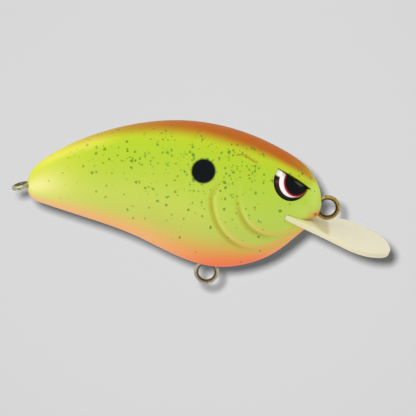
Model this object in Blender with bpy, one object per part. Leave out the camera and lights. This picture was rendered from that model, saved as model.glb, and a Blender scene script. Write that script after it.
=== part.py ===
"""Crankbait lure: two moulded shells, a diving lip, wire eyes, set-in eyes, ballast and rattles.

Sizes are written in millimetres and turned into metres with MM. The origin is the centre of the
line tie's eye, +X points out of the nose, +Y to the lure's left and +Z to its back.
"""
import math

import bmesh
import bpy
import numpy as np
from mathutils import Matrix, Vector

MM = 0.001

# Body
BODY_LENGTH = 54.5 * MM
BODY_WIDTH = 14.0 * MM
BACK_HEIGHT = 16.5 * MM
BELLY_DEPTH = 11.2 * MM
TAIL_HEIGHT = 3.93 * MM
NOSE_HEIGHT = 0.91 * MM
NOSE_SETBACK = 1.15 * MM
SECTION_FULLNESS = 2.4
WALL = 1.2 * MM
PARTING_GAP = 0.1 * MM

# Outline shares at stations counted from the tail tip (0) to the nose tip (1)
BACK_LINE = [(0.0, 0.0), (0.012, 0.22), (0.06, 0.433), (0.17, 0.696), (0.35, 0.927), (0.52, 0.992),
             (0.70, 0.886), (0.85, 0.665), (0.94, 0.453), (0.985, 0.246), (1.0, 0.0)]
BELLY_LINE = [(0.0, 0.0), (0.012, 0.118), (0.06, 0.198), (0.20, 0.347), (0.38, 0.589), (0.52, 0.86),
              (0.64, 0.995), (0.74, 0.96), (0.84, 0.788), (0.92, 0.508), (0.975, 0.28), (1.0, 0.0)]
WIDTH_LINE = [(0.0, 0.0), (0.0236, 0.286), (0.0845, 0.443), (0.186, 0.657), (0.307, 0.857), (0.43, 0.971),
              (0.55, 1.0), (0.652, 0.979), (0.794, 0.829), (0.875, 0.679), (0.936, 0.507),
              (0.983, 0.279), (1.0, 0.0)]
STATIONS = 40
FLANK_STEPS = 16

# Gill covers and brow, raised from the flank; setbacks are counted from the nose tip
REAR_GILL_SETBACK = 11.47 * MM
REAR_GILL_HEIGHT = 3.29 * MM
REAR_GILL_HALF_LENGTH = 8.44 * MM
REAR_GILL_HALF_HEIGHT = 9.6 * MM
FRONT_GILL_SETBACK = 8.51 * MM
FRONT_GILL_HEIGHT = 3.33 * MM
FRONT_GILL_HALF_LENGTH = 6.59 * MM
FRONT_GILL_HALF_HEIGHT = 7.2 * MM
GILL_RISE = 0.4 * MM
GILL_LEAN = math.radians(60.0)
GILL_STEEPNESS = 1.1
PATCH_INNER_Y = 1.4 * MM
BROW_RISE = 0.55 * MM
BROW_DEPTH = 3.2 * MM
BROW_OVERLAP = 0.5 * MM
BROW_HALF_LENGTH = 4.6 * MM
BROW_FADE_LENGTH = 3.2 * MM
BROW_END_LIFT = 1.0
BROW_EDGE_LIFT = 1.2
BROW_STEEPNESS = 1.5

# Eyes
EYE_SETBACK = 5.62 * MM
EYE_HEIGHT = 5.98 * MM
EYE_RADIUS = 3.56 * MM
EYE_BROW_OFFSET = 0.73 * MM
EYE_BROW_SLOPE = math.radians(31.0)
EYE_SOCKET_DEPTH = 1.7 * MM
EYE_DISC_THICKNESS = 0.5 * MM
EYE_DOME_RISE = 1.1 * MM
EYE_DOME_EDGE = 0.25 * MM
EYE_CLEARANCE = 0.1 * MM

# Wire eyes
WIRE_DIAMETER = 0.85 * MM
WIRE_CLEARANCE = 0.12 * MM
EYE_RING_DIAMETER = 4.7 * MM
TAIL_RING_DIAMETER = 3.6 * MM
INNER_LOOP_DIAMETER = 3.4 * MM
LEG_GAP = 0.3 * MM
LEG_FILLET = 0.5 * MM
WIRE_END_GAP = 0.3 * MM
LINE_TIE_REACH = 4.8 * MM
LINE_TIE_TILT = math.radians(14.0)
BELLY_HANGER_SETBACK = 21.34 * MM
BELLY_HANGER_DROP = 1.6 * MM
BELLY_HANGER_REACH = 5.0 * MM
TAIL_HANGER_OVERHANG = 1.15 * MM
TAIL_HANGER_LIFT = 0.22 * MM
TAIL_HANGER_REACH = 4.6 * MM
TAIL_HANGER_TILT = math.radians(14.0)
HANGER_BOSS_WALL = 0.6 * MM
WIRE_SIDES = 8

# Diving lip and the mouth above it
LIP_LENGTH = 21.2 * MM
LIP_WIDTH = 19.5 * MM
LIP_THICKNESS = 1.0 * MM
LIP_EDGE = 0.25 * MM
LIP_BOW = 0.32 * MM
LIP_SLOPE = math.radians(20.4)
LIP_REAR_SETBACK = 8.19 * MM
LIP_DROP_AT_ORIGIN = 3.57 * MM
LIP_CORNER = 0.9 * MM
LIP_CLEARANCE = 0.1 * MM
LIP_HALF_WIDTHS = [(0.0, 0.52), (0.155, 0.585), (0.34, 0.708), (0.50, 0.87), (0.62, 0.987), (0.695, 1.0),
                   (0.76, 0.968), (0.85, 0.84), (0.945, 0.592), (1.0, 0.0)]
LIP_STEPS = 22
MOUTH_DROP = 1.5 * MM

# Inside the hollow
CAVITY_TAIL_STATION = 0.10
CAVITY_NOSE_STATION = 0.826
CAVITY_STATIONS = 18
CAVITY_STEPS = 24
RIB = 0.9 * MM
RIB_RECESS = 0.15 * MM
BALL_CLEARANCE = 0.2 * MM
CUP_WALL = 0.6 * MM
BALLAST_RADIUS = 2.3 * MM
WEIGHT_RADIUS = 2.4 * MM
WEIGHT_BEHIND_BELLY_EYE = 5.4 * MM
WEIGHT_END_FROM_TAIL = 9.8 * MM
WEIGHT_GUSSETS = 3
RATTLE_RADIUS = 1.6 * MM
RATTLE_TRAVEL = 3.0 * MM
RATTLE_FLOOR_ABOVE_BALLAST = 1.15 * MM
RATTLE_COUNT = 3
PIN_RADIUS = 0.6 * MM
PIN_LENGTH = 1.5 * MM
PIN_CLEARANCE = 0.12 * MM
PIN_BOSS_RADIUS = 1.3 * MM
PIN_PLACES = [(0.20, 0.80), (0.47, 0.86), (0.76, 0.82)]

SMOOTH_ANGLE = math.radians(35.0)
RIGHT = -1.0
LEFT = 1.0


def natural_cubic(points):
    """A smooth curve through (place, value) points, straight at both ends."""
    place = np.array([point[0] for point in points])
    value = np.array([point[1] for point in points])
    step = np.diff(place)
    count = len(points)
    system = np.eye(count)
    bends = np.zeros(count)
    for i in range(1, count - 1):
        system[i, i - 1:i + 2] = step[i - 1], 2.0 * (step[i - 1] + step[i]), step[i]
        rise = (value[i + 1] - value[i]) / step[i]
        bends[i] = 6.0 * (rise - (value[i] - value[i - 1]) / step[i - 1])
    curve = np.linalg.solve(system, bends)

    def read(at):
        i = min(max(int(np.searchsorted(place, at)) - 1, 0), count - 2)
        left = (place[i + 1] - at) / step[i]
        right = 1.0 - left
        bow = (left ** 3 - left) * curve[i] + (right ** 3 - right) * curve[i + 1]
        return float(left * value[i] + right * value[i + 1] + bow * step[i] ** 2 / 6.0)

    return read


def round_ended(line):
    """A station curve that leaves both tips at a right angle, so that the ends come out round."""
    inner = natural_cubic([(math.acos(1.0 - 2.0 * station), share) for station, share in line])
    return lambda station: inner(math.acos(1.0 - 2.0 * min(max(station, 0.0), 1.0)))


back_share = round_ended(BACK_LINE)
belly_share = round_ended(BELLY_LINE)
width_share = round_ended(WIDTH_LINE)


def station_x(station):
    return -NOSE_SETBACK - BODY_LENGTH * (1.0 - station)


def x_station(x):
    return 1.0 + (x + NOSE_SETBACK) / BODY_LENGTH


def setback_station(setback):
    return 1.0 - setback / BODY_LENGTH


def section(station):
    """Top, bottom and half-width of the body at a station."""
    tip_line = TAIL_HEIGHT + (NOSE_HEIGHT - TAIL_HEIGHT) * station
    top = tip_line + back_share(station) * (BACK_HEIGHT - tip_line)
    bottom = tip_line - belly_share(station) * (tip_line + BELLY_DEPTH)
    return top, bottom, max(width_share(station), 0.0) * BODY_WIDTH / 2.0


def power(value):
    return math.copysign(abs(value) ** (2.0 / SECTION_FULLNESS), value)


def flank_point(station, angle, side, inset=0.0):
    """Point of the body's surface; the angle runs from the belly (-90 degrees) to the back (90)."""
    top, bottom, half_width = section(station)
    middle = (top + bottom) / 2.0
    across = max(half_width - inset, 0.0) * power(math.cos(angle))
    height = middle + max((top - bottom) / 2.0 - inset, 0.0) * power(math.sin(angle))
    return Vector((station_x(station), side * across, height))


def flank_normal(station, angle, side):
    small = 0.002
    along = flank_point(station + small, angle, side) - flank_point(station - small, angle, side)
    around = flank_point(station, angle + small, side) - flank_point(station, angle - small, side)
    return (around.cross(along) * side).normalized()


def flank_angle(station, height):
    """Angle of the flank at a height above the origin."""
    top, bottom, _ = section(station)
    share = (height - (top + bottom) / 2.0) / ((top - bottom) / 2.0)
    return math.asin(math.copysign(min(abs(share), 1.0) ** (SECTION_FULLNESS / 2.0), share))


def new_collection(name):
    collection = bpy.data.collections.new(name)
    bpy.context.scene.collection.children.link(collection)
    return collection


def add_object(name, mesh, collection):
    made = bpy.data.objects.new(name, mesh)
    collection.objects.link(made)
    if collection == cutters:
        made.hide_render = True
        made.display_type = 'WIRE'
    return made


def add_bmesh(name, work, collection, matrix=None):
    bmesh.ops.recalc_face_normals(work, faces=work.faces)
    mesh = bpy.data.meshes.new(name)
    work.to_mesh(mesh)
    work.free()
    made = add_object(name, mesh, collection)
    if matrix is not None:
        made.matrix_world = matrix
    return made


def placed(x, y, z, origin):
    """Matrix with the given axes and origin."""
    return Matrix((
        (x[0], y[0], z[0], origin[0]),
        (x[1], y[1], z[1], origin[1]),
        (x[2], y[2], z[2], origin[2]),
        (0.0, 0.0, 0.0, 1.0)))


def box(name, size, matrix):
    work = bmesh.new()
    bmesh.ops.create_cube(work, size=1.0, matrix=Matrix.Diagonal((*size, 1.0)))
    return add_bmesh(name, work, cutters, matrix)


def cross_cylinder(name, radius, x, z, y_from, y_to, sides=20):
    """Cylinder along Y, with its facets just outside the radius."""
    work = bmesh.new()
    outside = radius / math.cos(math.pi / sides)
    bmesh.ops.create_cone(work, cap_ends=True, segments=sides, radius1=outside, radius2=outside,
                          depth=abs(y_to - y_from))
    turn = Matrix.Rotation(math.radians(90.0), 4, 'X')
    return add_bmesh(name, work, cutters, Matrix.Translation((x, (y_from + y_to) / 2.0, z)) @ turn)


def ball(name, radius, centre, collection, segments=16):
    work = bmesh.new()
    bmesh.ops.create_uvsphere(work, u_segments=segments, v_segments=segments // 2, radius=radius)
    return add_bmesh(name, work, collection, Matrix.Translation(centre))


def outline_solid(name, outline, thickness, collection, matrix):
    """Flat plate of a closed outline in its local XY plane."""
    curve = bpy.data.curves.new(name + "_outline", 'CURVE')
    curve.dimensions = '2D'
    curve.fill_mode = 'BOTH'
    curve.extrude = thickness / 2.0
    line = curve.splines.new('POLY')
    line.points.add(len(outline) - 1)
    for point, place in zip(line.points, outline):
        point.co = (place[0], place[1], 0.0, 1.0)
    line.use_cyclic_u = True
    return curve_to_solid(name, curve, collection, matrix)


def curve_to_solid(name, curve, collection, matrix):
    holder = bpy.data.objects.new(name + "_curve", curve)
    bpy.context.scene.collection.objects.link(holder)
    bpy.context.view_layer.update()
    mesh = bpy.data.meshes.new_from_object(holder.evaluated_get(bpy.context.evaluated_depsgraph_get()))
    bpy.data.objects.remove(holder, do_unlink=True)
    work = bmesh.new()
    work.from_mesh(mesh)
    bpy.data.meshes.remove(mesh)
    bmesh.ops.remove_doubles(work, verts=work.verts, dist=0.001 * MM)
    return add_bmesh(name, work, collection, matrix)


def boolean(target, tool, operation, solver='MANIFOLD'):
    """Join or cut; the long chains of thin steps on the shells need the solver for closed meshes."""
    modifier = target.modifiers.new(operation.lower() + "_" + tool.name, 'BOOLEAN')
    modifier.operation = operation
    modifier.solver = solver
    modifier.object = tool


def half_body(name, side, collection, rise=None):
    """Closed half of the body on one side of the parting plane, its flank lifted by rise if given."""
    work = bmesh.new()
    plane = side * PARTING_GAP / 2.0
    rows = []
    for i in range(1, STATIONS):
        station = (1.0 - math.cos(math.pi * i / STATIONS)) / 2.0
        row = []
        for j in range(FLANK_STEPS + 1):
            angle = math.pi * (j / FLANK_STEPS - 0.5)
            place = flank_point(station, angle, side)
            if rise is not None and 0 < j < FLANK_STEPS:
                place += flank_normal(station, angle, side) * rise(place)
            if j in (0, FLANK_STEPS):
                place.y = plane
            row.append(work.verts.new(place))
        rows.append(row)
    tail = work.verts.new((station_x(0.0), plane, TAIL_HEIGHT))
    nose = work.verts.new((station_x(1.0), plane, NOSE_HEIGHT))
    for first, second in zip(rows, rows[1:]):
        for j in range(FLANK_STEPS):
            work.faces.new((first[j], first[j + 1], second[j + 1], second[j]))
    for j in range(FLANK_STEPS):
        work.faces.new((tail, rows[0][j + 1], rows[0][j]))
        work.faces.new((nose, rows[-1][j], rows[-1][j + 1]))
    belly_edge = [row[0] for row in rows]
    back_edge = [row[-1] for row in reversed(rows)]
    work.faces.new([tail] + belly_edge + [nose] + back_edge)
    return add_bmesh(name, work, collection)


def hollow(name):
    """Inside of the body: the outline drawn in by the wall, with flat ends."""
    work = bmesh.new()
    rows = []
    for i in range(CAVITY_STATIONS + 1):
        share = i / CAVITY_STATIONS
        station = CAVITY_TAIL_STATION + (CAVITY_NOSE_STATION - CAVITY_TAIL_STATION) * share
        row = []
        for j in range(CAVITY_STEPS):
            angle = 2.0 * math.pi * (j + 0.5) / CAVITY_STEPS
            row.append(work.verts.new(flank_point(station, angle, LEFT, WALL)))
        rows.append(row)
    for first, second in zip(rows, rows[1:]):
        for j in range(CAVITY_STEPS):
            k = (j + 1) % CAVITY_STEPS
            work.faces.new((first[j], first[k], second[k], second[j]))
    work.faces.new(rows[0])
    work.faces.new(list(reversed(rows[-1])))
    return add_bmesh(name, work, cutters)


def arc(centre, radius, start, end, steps):
    points = []
    for i in range(steps + 1):
        angle = start + (end - start) * i / steps
        points.append((centre[0] + radius * math.cos(angle), centre[1] + radius * math.sin(angle)))
    return points


def half_hanger(ring, loop, reach, fine):
    """One side of a bent wire eye in its own plane, from the inner loop's end to the ring's far point."""
    leg = LEG_GAP / 2.0 + WIRE_DIAMETER / 2.0
    side = leg + LEG_FILLET
    ring_run = math.sqrt((ring + LEG_FILLET) ** 2 - side ** 2)
    loop_run = math.sqrt((loop + LEG_FILLET) ** 2 - side ** 2)
    ring_turn = math.atan2(side, -ring_run)
    loop_turn = math.atan2(side, loop_run)
    end_turn = math.pi - WIRE_END_GAP / 2.0 / loop
    points = arc((-reach, 0.0), loop, end_turn, loop_turn, fine)
    points += arc((-reach + loop_run, side), LEG_FILLET, loop_turn - math.pi, -math.pi / 2.0, fine // 3)[1:]
    points += arc((-ring_run, side), LEG_FILLET, -math.pi / 2.0, ring_turn - math.pi, fine // 3)
    points += arc((0.0, 0.0), ring, ring_turn, 0.0, fine)[1:]
    return points


def hanger(name, ring_diameter, reach, collection, matrix, extra=0.0, fine=9):
    """Bent wire eye, or with extra radius the groove that it lies in."""
    ring = (ring_diameter - WIRE_DIAMETER) / 2.0
    loop = (INNER_LOOP_DIAMETER - WIRE_DIAMETER) / 2.0
    upper = half_hanger(ring, loop, reach, fine)
    lower = [(place[0], -place[1]) for place in reversed(upper[:-1])]
    path = upper + lower
    curve = bpy.data.curves.new(name + "_path", 'CURVE')
    curve.dimensions = '3D'
    curve.bevel_depth = WIRE_DIAMETER / 2.0
    if extra > 0.0:
        curve.bevel_depth = (WIRE_DIAMETER / 2.0 + extra) / math.cos(math.pi / WIRE_SIDES)
    curve.bevel_resolution = (WIRE_SIDES - 4) // 2
    curve.use_fill_caps = True
    line = curve.splines.new('POLY')
    line.points.add(len(path) - 1)
    for point, place in zip(line.points, path):
        point.co = (place[0], place[1], 0.0, 1.0)
    return curve_to_solid(name, curve, collection, matrix)


def lip_outline(grow):
    """Outline of the lip, along its length (x) and across (y), with its outward direction at each point."""
    line = natural_cubic(sorted((math.acos(along), share) for along, share in LIP_HALF_WIDTHS))
    rear = line(math.pi / 2.0) * LIP_WIDTH / 2.0
    half = arc((LIP_CORNER, rear - LIP_CORNER), LIP_CORNER, math.pi, math.pi / 2.0, 3)
    for i in range(LIP_STEPS):
        turn = math.pi / 2.0 * (1.0 - i / LIP_STEPS)
        along = math.cos(turn) * LIP_LENGTH
        if along > LIP_CORNER:
            half.append((along, line(turn) * LIP_WIDTH / 2.0))
    half.append((LIP_LENGTH, 0.0))
    loop = [Vector(place) for place in half + [(along, -across) for along, across in reversed(half[:-1])]]
    outline = []
    for before, place, after in zip(loop[-1:] + loop, loop, loop[1:] + loop[:1]):
        run = after - before
        out = Vector((-run.y, run.x)).normalized()
        outline.append((place + out * grow, out))
    return outline


def lip_plate(name, grow, collection):
    """Lip with rounded edges, bowed along its length, or with some growth the slot that it sits in."""
    tall = LIP_THICKNESS / 2.0 + grow
    profile = ((-LIP_EDGE, tall), (0.0, tall - LIP_EDGE), (0.0, LIP_EDGE - tall), (-LIP_EDGE, -tall))
    work = bmesh.new()
    rows = []
    for place, out in lip_outline(grow):
        row = []
        for inset, height in profile:
            at = place + out * inset
            share = at.x / LIP_LENGTH
            row.append(work.verts.new((at.x, at.y, height - 4.0 * LIP_BOW * share * (1.0 - share))))
        rows.append(row)
    for row, following in zip(rows, rows[1:] + rows[:1]):
        for j in range(len(profile) - 1):
            work.faces.new((row[j], row[j + 1], following[j + 1], following[j]))
    tip = len(rows) // 2
    for level in (0, -1):
        for i in range(tip - 1):
            work.faces.new([rows[k][level] for k in (i, i + 1, -i - 2, -i - 1)])
        work.faces.new([rows[k][level] for k in (tip - 1, tip, tip + 1)])
    return add_bmesh(name, work, collection, lip_frame)


def mouth_wedge():
    """Wedge between the lip's middle and the flat underside of the nose."""
    front = NOSE_SETBACK
    fall = math.tan(LIP_SLOPE)
    corner = (MOUTH_DROP - LIP_DROP_AT_ORIGIN) / fall
    work = bmesh.new()
    sides = []
    for y in (-BODY_WIDTH, BODY_WIDTH):
        places = ((corner, -MOUTH_DROP), (front, -MOUTH_DROP), (front, -LIP_DROP_AT_ORIGIN - front * fall))
        sides.append([work.verts.new((x, y, z)) for x, z in places])
    work.faces.new(sides[0])
    work.faces.new(list(reversed(sides[1])))
    for i in range(3):
        k = (i + 1) % 3
        work.faces.new((sides[0][i], sides[1][i], sides[1][k], sides[0][k]))
    return add_bmesh("mouth", work, cutters)


def eye_outline(grow):
    """Round eye cut straight along the brow, in the plane of the eye."""
    radius = EYE_RADIUS + grow
    chord = math.asin((EYE_BROW_OFFSET + grow) / radius)
    return arc((0.0, 0.0), radius, math.pi - chord, 2.0 * math.pi + chord, 26)


def eye_frame(side):
    """Matrix of an eye: x along the brow toward the nose, y up across it, z out of the flank."""
    station = setback_station(EYE_SETBACK)
    angle = flank_angle(station, EYE_HEIGHT)
    centre = flank_point(station, angle, side)
    out = flank_normal(station, angle, side)
    brow = Vector((math.cos(EYE_BROW_SLOPE), 0.0, -math.sin(EYE_BROW_SLOPE)))
    along = (brow - out * brow.dot(out)).normalized()
    up = out.cross(along)
    if up.z < 0.0:
        up = -up
        along = -along
    return placed(along, up, out, centre)


def paint(target, name, colour, roughness, metallic=0.0, transmission=0.0):
    material = bpy.data.materials.new(name)
    material.use_nodes = True
    shader = material.node_tree.nodes["Principled BSDF"]
    shader.inputs["Base Color"].default_value = (*colour, 1.0)
    shader.inputs["Roughness"].default_value = roughness
    shader.inputs["Metallic"].default_value = metallic
    shader.inputs["Transmission Weight"].default_value = transmission
    material.diffuse_color = (*colour, 1.0)
    target.data.materials.clear()
    target.data.materials.append(material)
    target.data.shade_smooth()
    target.data.set_sharp_from_angle(angle=SMOOTH_ANGLE)


def belly_floor(station):
    return section(station)[1] + WALL


for old in list(bpy.data.objects):
    bpy.data.objects.remove(old, do_unlink=True)
parts = new_collection("crankbait_lure")
cutters = new_collection("cutters")

# Places that several pieces share
tie_axis = Vector((math.cos(LINE_TIE_TILT), 0.0, -math.sin(LINE_TIE_TILT)))
tie_frame = placed(tie_axis, (-tie_axis.z, 0.0, tie_axis.x), (0.0, -1.0, 0.0), (0.0, 0.0, 0.0))
belly_x = -NOSE_SETBACK - BELLY_HANGER_SETBACK
belly_z = section(setback_station(BELLY_HANGER_SETBACK))[1] - BELLY_HANGER_DROP
belly_frame = placed((0.0, 0.0, -1.0), (1.0, 0.0, 0.0), (0.0, -1.0, 0.0), (belly_x, 0.0, belly_z))
tail_axis = Vector((-math.cos(TAIL_HANGER_TILT), 0.0, -math.sin(TAIL_HANGER_TILT)))
tail_place = Vector((station_x(0.0) - TAIL_HANGER_OVERHANG, 0.0, TAIL_HEIGHT + TAIL_HANGER_LIFT))
tail_frame = placed(tail_axis, (0.0, 1.0, 0.0), tail_axis.cross(Vector((0.0, 1.0, 0.0))), tail_place)

boss_radius = INNER_LOOP_DIAMETER / 2.0 + WIRE_CLEARANCE + HANGER_BOSS_WALL
boss_z = belly_z + BELLY_HANGER_REACH
ballast_rear_x = belly_x + boss_radius + BALLAST_RADIUS + BALL_CLEARANCE
ballast_pitch = 2.0 * (BALLAST_RADIUS + BALL_CLEARANCE)
ballast_places = []
for x in (ballast_rear_x + ballast_pitch, ballast_rear_x):
    ballast_z = belly_floor(x_station(x)) + BALL_CLEARANCE + BALLAST_RADIUS
    ballast_places.append(Vector((x, 0.0, ballast_z)))

weight_lift = WEIGHT_RADIUS + BALL_CLEARANCE + RIB
weight_rest_x = belly_x - WEIGHT_BEHIND_BELLY_EYE
weight_end_x = station_x(0.0) + WEIGHT_END_FROM_TAIL
weight_rest = Vector((weight_rest_x, 0.0, belly_floor(x_station(weight_rest_x)) + weight_lift))
weight_end = Vector((weight_end_x, 0.0, belly_floor(x_station(weight_end_x)) + weight_lift))
channel_axis = (weight_end - weight_rest).normalized()
channel_up = Vector((-channel_axis.z, 0.0, channel_axis.x))
if channel_up.z < 0.0:
    channel_up = -channel_up
channel_travel = (weight_end - weight_rest).length

rattle_floor = max(place.z for place in ballast_places) + BALLAST_RADIUS + RATTLE_FLOOR_ABOVE_BALLAST
rattle_roof = rattle_floor + 2.0 * RATTLE_RADIUS + RATTLE_TRAVEL + 2.0 * BALL_CLEARANCE
rattle_pitch = 2.0 * RATTLE_RADIUS + BALL_CLEARANCE
rattle_front_x = station_x(CAVITY_NOSE_STATION) - BALL_CLEARANCE - RATTLE_RADIUS
rattle_places = []
for i in range(RATTLE_COUNT):
    rattle_x = rattle_front_x - i * rattle_pitch
    rattle_places.append(Vector((rattle_x, 0.0, rattle_floor + BALL_CLEARANCE + RATTLE_RADIUS)))

eye_x = -NOSE_SETBACK - EYE_SETBACK
pin_places = []
for station, share in PIN_PLACES:
    top, bottom, _ = section(station)
    pin_places.append((station_x(station), bottom + share * (top - bottom)))

lip_rear = Vector((-LIP_REAR_SETBACK, 0.0, LIP_REAR_SETBACK * math.tan(LIP_SLOPE) - LIP_DROP_AT_ORIGIN))
lip_axis = Vector((math.cos(LIP_SLOPE), 0.0, -math.sin(LIP_SLOPE)))
lip_frame = placed(lip_axis, (0.0, 1.0, 0.0), lip_axis.cross(Vector((0.0, 1.0, 0.0))), lip_rear)


def gill_rise(x, z, half_length):
    """Lift of a gill cover: full at its lower rear edge, below the flank at its upper front."""
    def rise(place):
        back = (x - place.x) * math.cos(GILL_LEAN) + (z - place.z) * math.sin(GILL_LEAN)
        return GILL_RISE * min(max(GILL_STEEPNESS * back / half_length, -1.0), 1.0)

    return rise


def brow_rise(place):
    """Lift of the brow: full along the eye, sinking into the head above and at both ends."""
    from_eye = Vector((place.x - eye_x, place.z - EYE_HEIGHT))
    along = from_eye.x * math.cos(EYE_BROW_SLOPE) - from_eye.y * math.sin(EYE_BROW_SLOPE)
    above = from_eye.x * math.sin(EYE_BROW_SLOPE) + from_eye.y * math.cos(EYE_BROW_SLOPE) - EYE_BROW_OFFSET
    ends = BROW_END_LIFT - (along / BROW_FADE_LENGTH) ** 2
    edge = BROW_EDGE_LIFT - BROW_STEEPNESS * above / BROW_DEPTH
    return BROW_RISE * min(max(min(edge, ends), -1.0), 1.0)


def gill_patch(name, side, setback, z, half_length, half_height):
    """Piece of the lifted flank inside an ellipse seen from the side."""
    x = -NOSE_SETBACK - setback
    patch = half_body(name, side, cutters, gill_rise(x, z, half_length))
    near = side * PATCH_INNER_Y
    frame = cross_cylinder(name + "_patch", half_length, x, z, near, side * BODY_WIDTH, 40)
    frame.matrix_world = frame.matrix_world @ Matrix.Diagonal((1.0, half_height / half_length, 1.0, 1.0))
    boolean(patch, frame, 'INTERSECT')
    return patch


def brow_patch(name, side):
    """Piece of the lifted flank in a straight band above the eye, which the socket trims below."""
    patch = half_body(name, side, cutters, brow_rise)
    lift = EYE_BROW_OFFSET + (BROW_DEPTH - BROW_OVERLAP) / 2.0
    x = eye_x + lift * math.sin(EYE_BROW_SLOPE)
    z = EYE_HEIGHT + lift * math.cos(EYE_BROW_SLOPE)
    middle = side * (PATCH_INNER_Y + BODY_WIDTH) / 2.0
    matrix = Matrix.Translation((x, middle, z)) @ Matrix.Rotation(EYE_BROW_SLOPE, 4, 'Y')
    size = (2.0 * BROW_HALF_LENGTH, BODY_WIDTH - PATCH_INNER_Y, BROW_DEPTH + BROW_OVERLAP)
    boolean(patch, box(name + "_patch", size, matrix), 'INTERSECT')
    return patch


def rib(tag, side, matrix, length, height, inner):
    """Plate that stands on the wall and reaches inward to a distance from the parting plane."""
    deep = BODY_WIDTH / 2.0
    middle = Matrix.Translation((0.0, side * (inner + deep) / 2.0, 0.0)) @ matrix
    return box(tag, (length, deep - inner, height), middle)


def inner_ribs(side, tag):
    """Everything that stands inside one shell: channel rails, stops, chamber walls, cups and bosses."""
    edge = PARTING_GAP / 2.0 + RIB_RECESS
    far = side * BODY_WIDTH / 2.0
    near = side * edge
    made = []
    turn = placed(channel_axis, (0.0, -1.0, 0.0), channel_up, (0.0, 0.0, 0.0))
    middle = (weight_rest + weight_end) / 2.0
    reach = WEIGHT_RADIUS + BALL_CLEARANCE
    rail_length = channel_travel + 2.0 * (reach + RIB)
    clear_height = 2.0 * reach + RIB
    for name, offset in (("lower_rail", -1.0), ("upper_rail", 1.0)):
        at = Matrix.Translation(middle + channel_up * offset * (reach + RIB / 2.0))
        made.append(rib(tag + name, side, at @ turn, rail_length, RIB, edge))
    for name, at in (("front_stop", weight_rest - channel_axis * (reach + RIB / 2.0)),
                     ("rear_stop", weight_end + channel_axis * (reach + RIB / 2.0))):
        made.append(rib(tag + name, side, Matrix.Translation(at) @ turn, RIB, clear_height, edge))
    for i in range(WEIGHT_GUSSETS):
        at = weight_rest + (weight_end - weight_rest) * (i + 0.5) / WEIGHT_GUSSETS
        gusset_at = Matrix.Translation(at) @ turn
        made.append(rib(tag + "gusset_%d" % i, side, gusset_at, RIB, clear_height, reach))
    chamber_front = station_x(CAVITY_NOSE_STATION) + RIB
    chamber_rear = rattle_places[-1].x - RATTLE_RADIUS - BALL_CLEARANCE
    length = chamber_front - chamber_rear
    chamber_x = (chamber_front + chamber_rear) / 2.0
    for name, z in (("rattle_floor", rattle_floor - RIB / 2.0), ("rattle_roof", rattle_roof + RIB / 2.0)):
        at = Matrix.Translation((chamber_x, 0.0, z))
        made.append(rib(tag + name, side, at, length, RIB, edge))
    height = rattle_roof - rattle_floor + 2.0 * RIB
    at = Matrix.Translation((chamber_rear - RIB / 2.0, 0.0, (rattle_floor + rattle_roof) / 2.0))
    made.append(rib(tag + "rattle_wall", side, at, RIB, height, edge))
    made.append(cross_cylinder(tag + "hanger_boss", boss_radius, belly_x, boss_z, near, far))
    cup = BALLAST_RADIUS + BALL_CLEARANCE + CUP_WALL
    for name, place in zip(("cup_front", "cup_rear"), ballast_places):
        made.append(cross_cylinder(tag + name, cup, place.x, place.z, near, far))
    for i, (x, z) in enumerate(pin_places):
        made.append(cross_cylinder(tag + "pin_boss_%d" % i, PIN_BOSS_RADIUS, x, z, near, far, 12))
    return made


def shell(name, side):
    tag = "right_" if side == RIGHT else "left_"
    body = half_body(name, side, parts)
    patches = [
        gill_patch(tag + "rear_gill", side, REAR_GILL_SETBACK, REAR_GILL_HEIGHT, REAR_GILL_HALF_LENGTH,
                   REAR_GILL_HALF_HEIGHT),
        gill_patch(tag + "front_gill", side, FRONT_GILL_SETBACK, FRONT_GILL_HEIGHT, FRONT_GILL_HALF_LENGTH,
                   FRONT_GILL_HALF_HEIGHT),
        brow_patch(tag + "brow", side)]
    for patch in patches:
        boolean(body, patch, 'UNION')
    space = hollow(tag + "hollow")
    for one in inner_ribs(side, tag):
        boolean(space, one, 'DIFFERENCE')
    boolean(body, space, 'DIFFERENCE')
    for pocket in ballast_pockets + wire_grooves + [lip_slot, mouth]:
        boolean(body, pocket, 'DIFFERENCE')
    socket = outline_solid(tag + "eye_socket", eye_outline(EYE_CLEARANCE), 4.0 * EYE_SOCKET_DEPTH, cutters,
                           eye_frame(side) @ Matrix.Translation((0.0, 0.0, EYE_SOCKET_DEPTH)))
    boolean(body, socket, 'DIFFERENCE')
    for i, (x, z) in enumerate(pin_places):
        if side == RIGHT:
            hole = PIN_RADIUS + PIN_CLEARANCE
            deep = PIN_LENGTH + PIN_CLEARANCE
            tool = cross_cylinder(tag + "pin_hole_%d" % i, hole, x, z, PIN_LENGTH, -deep, 12)
            boolean(body, tool, 'DIFFERENCE')
        else:
            tool = cross_cylinder(tag + "pin_%d" % i, PIN_RADIUS, x, z, PIN_BOSS_RADIUS, -PIN_LENGTH, 12)
            boolean(body, tool, 'UNION')
    return body


ballast_pockets = []
for name, place in zip(("pocket_front", "pocket_rear"), ballast_places):
    pocket_radius = (BALLAST_RADIUS + BALL_CLEARANCE) / math.cos(math.pi / 16.0)
    ballast_pockets.append(ball(name, pocket_radius, place, cutters, 16))
wire_grooves = [
    hanger("line_tie_groove", EYE_RING_DIAMETER, LINE_TIE_REACH, cutters, tie_frame, WIRE_CLEARANCE, 6),
    hanger("belly_groove", EYE_RING_DIAMETER, BELLY_HANGER_REACH, cutters, belly_frame, WIRE_CLEARANCE, 6),
    hanger("tail_groove", TAIL_RING_DIAMETER, TAIL_HANGER_REACH, cutters, tail_frame, WIRE_CLEARANCE, 6)]
lip_slot = lip_plate("lip_slot", LIP_CLEARANCE, cutters)
mouth = mouth_wedge()

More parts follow.
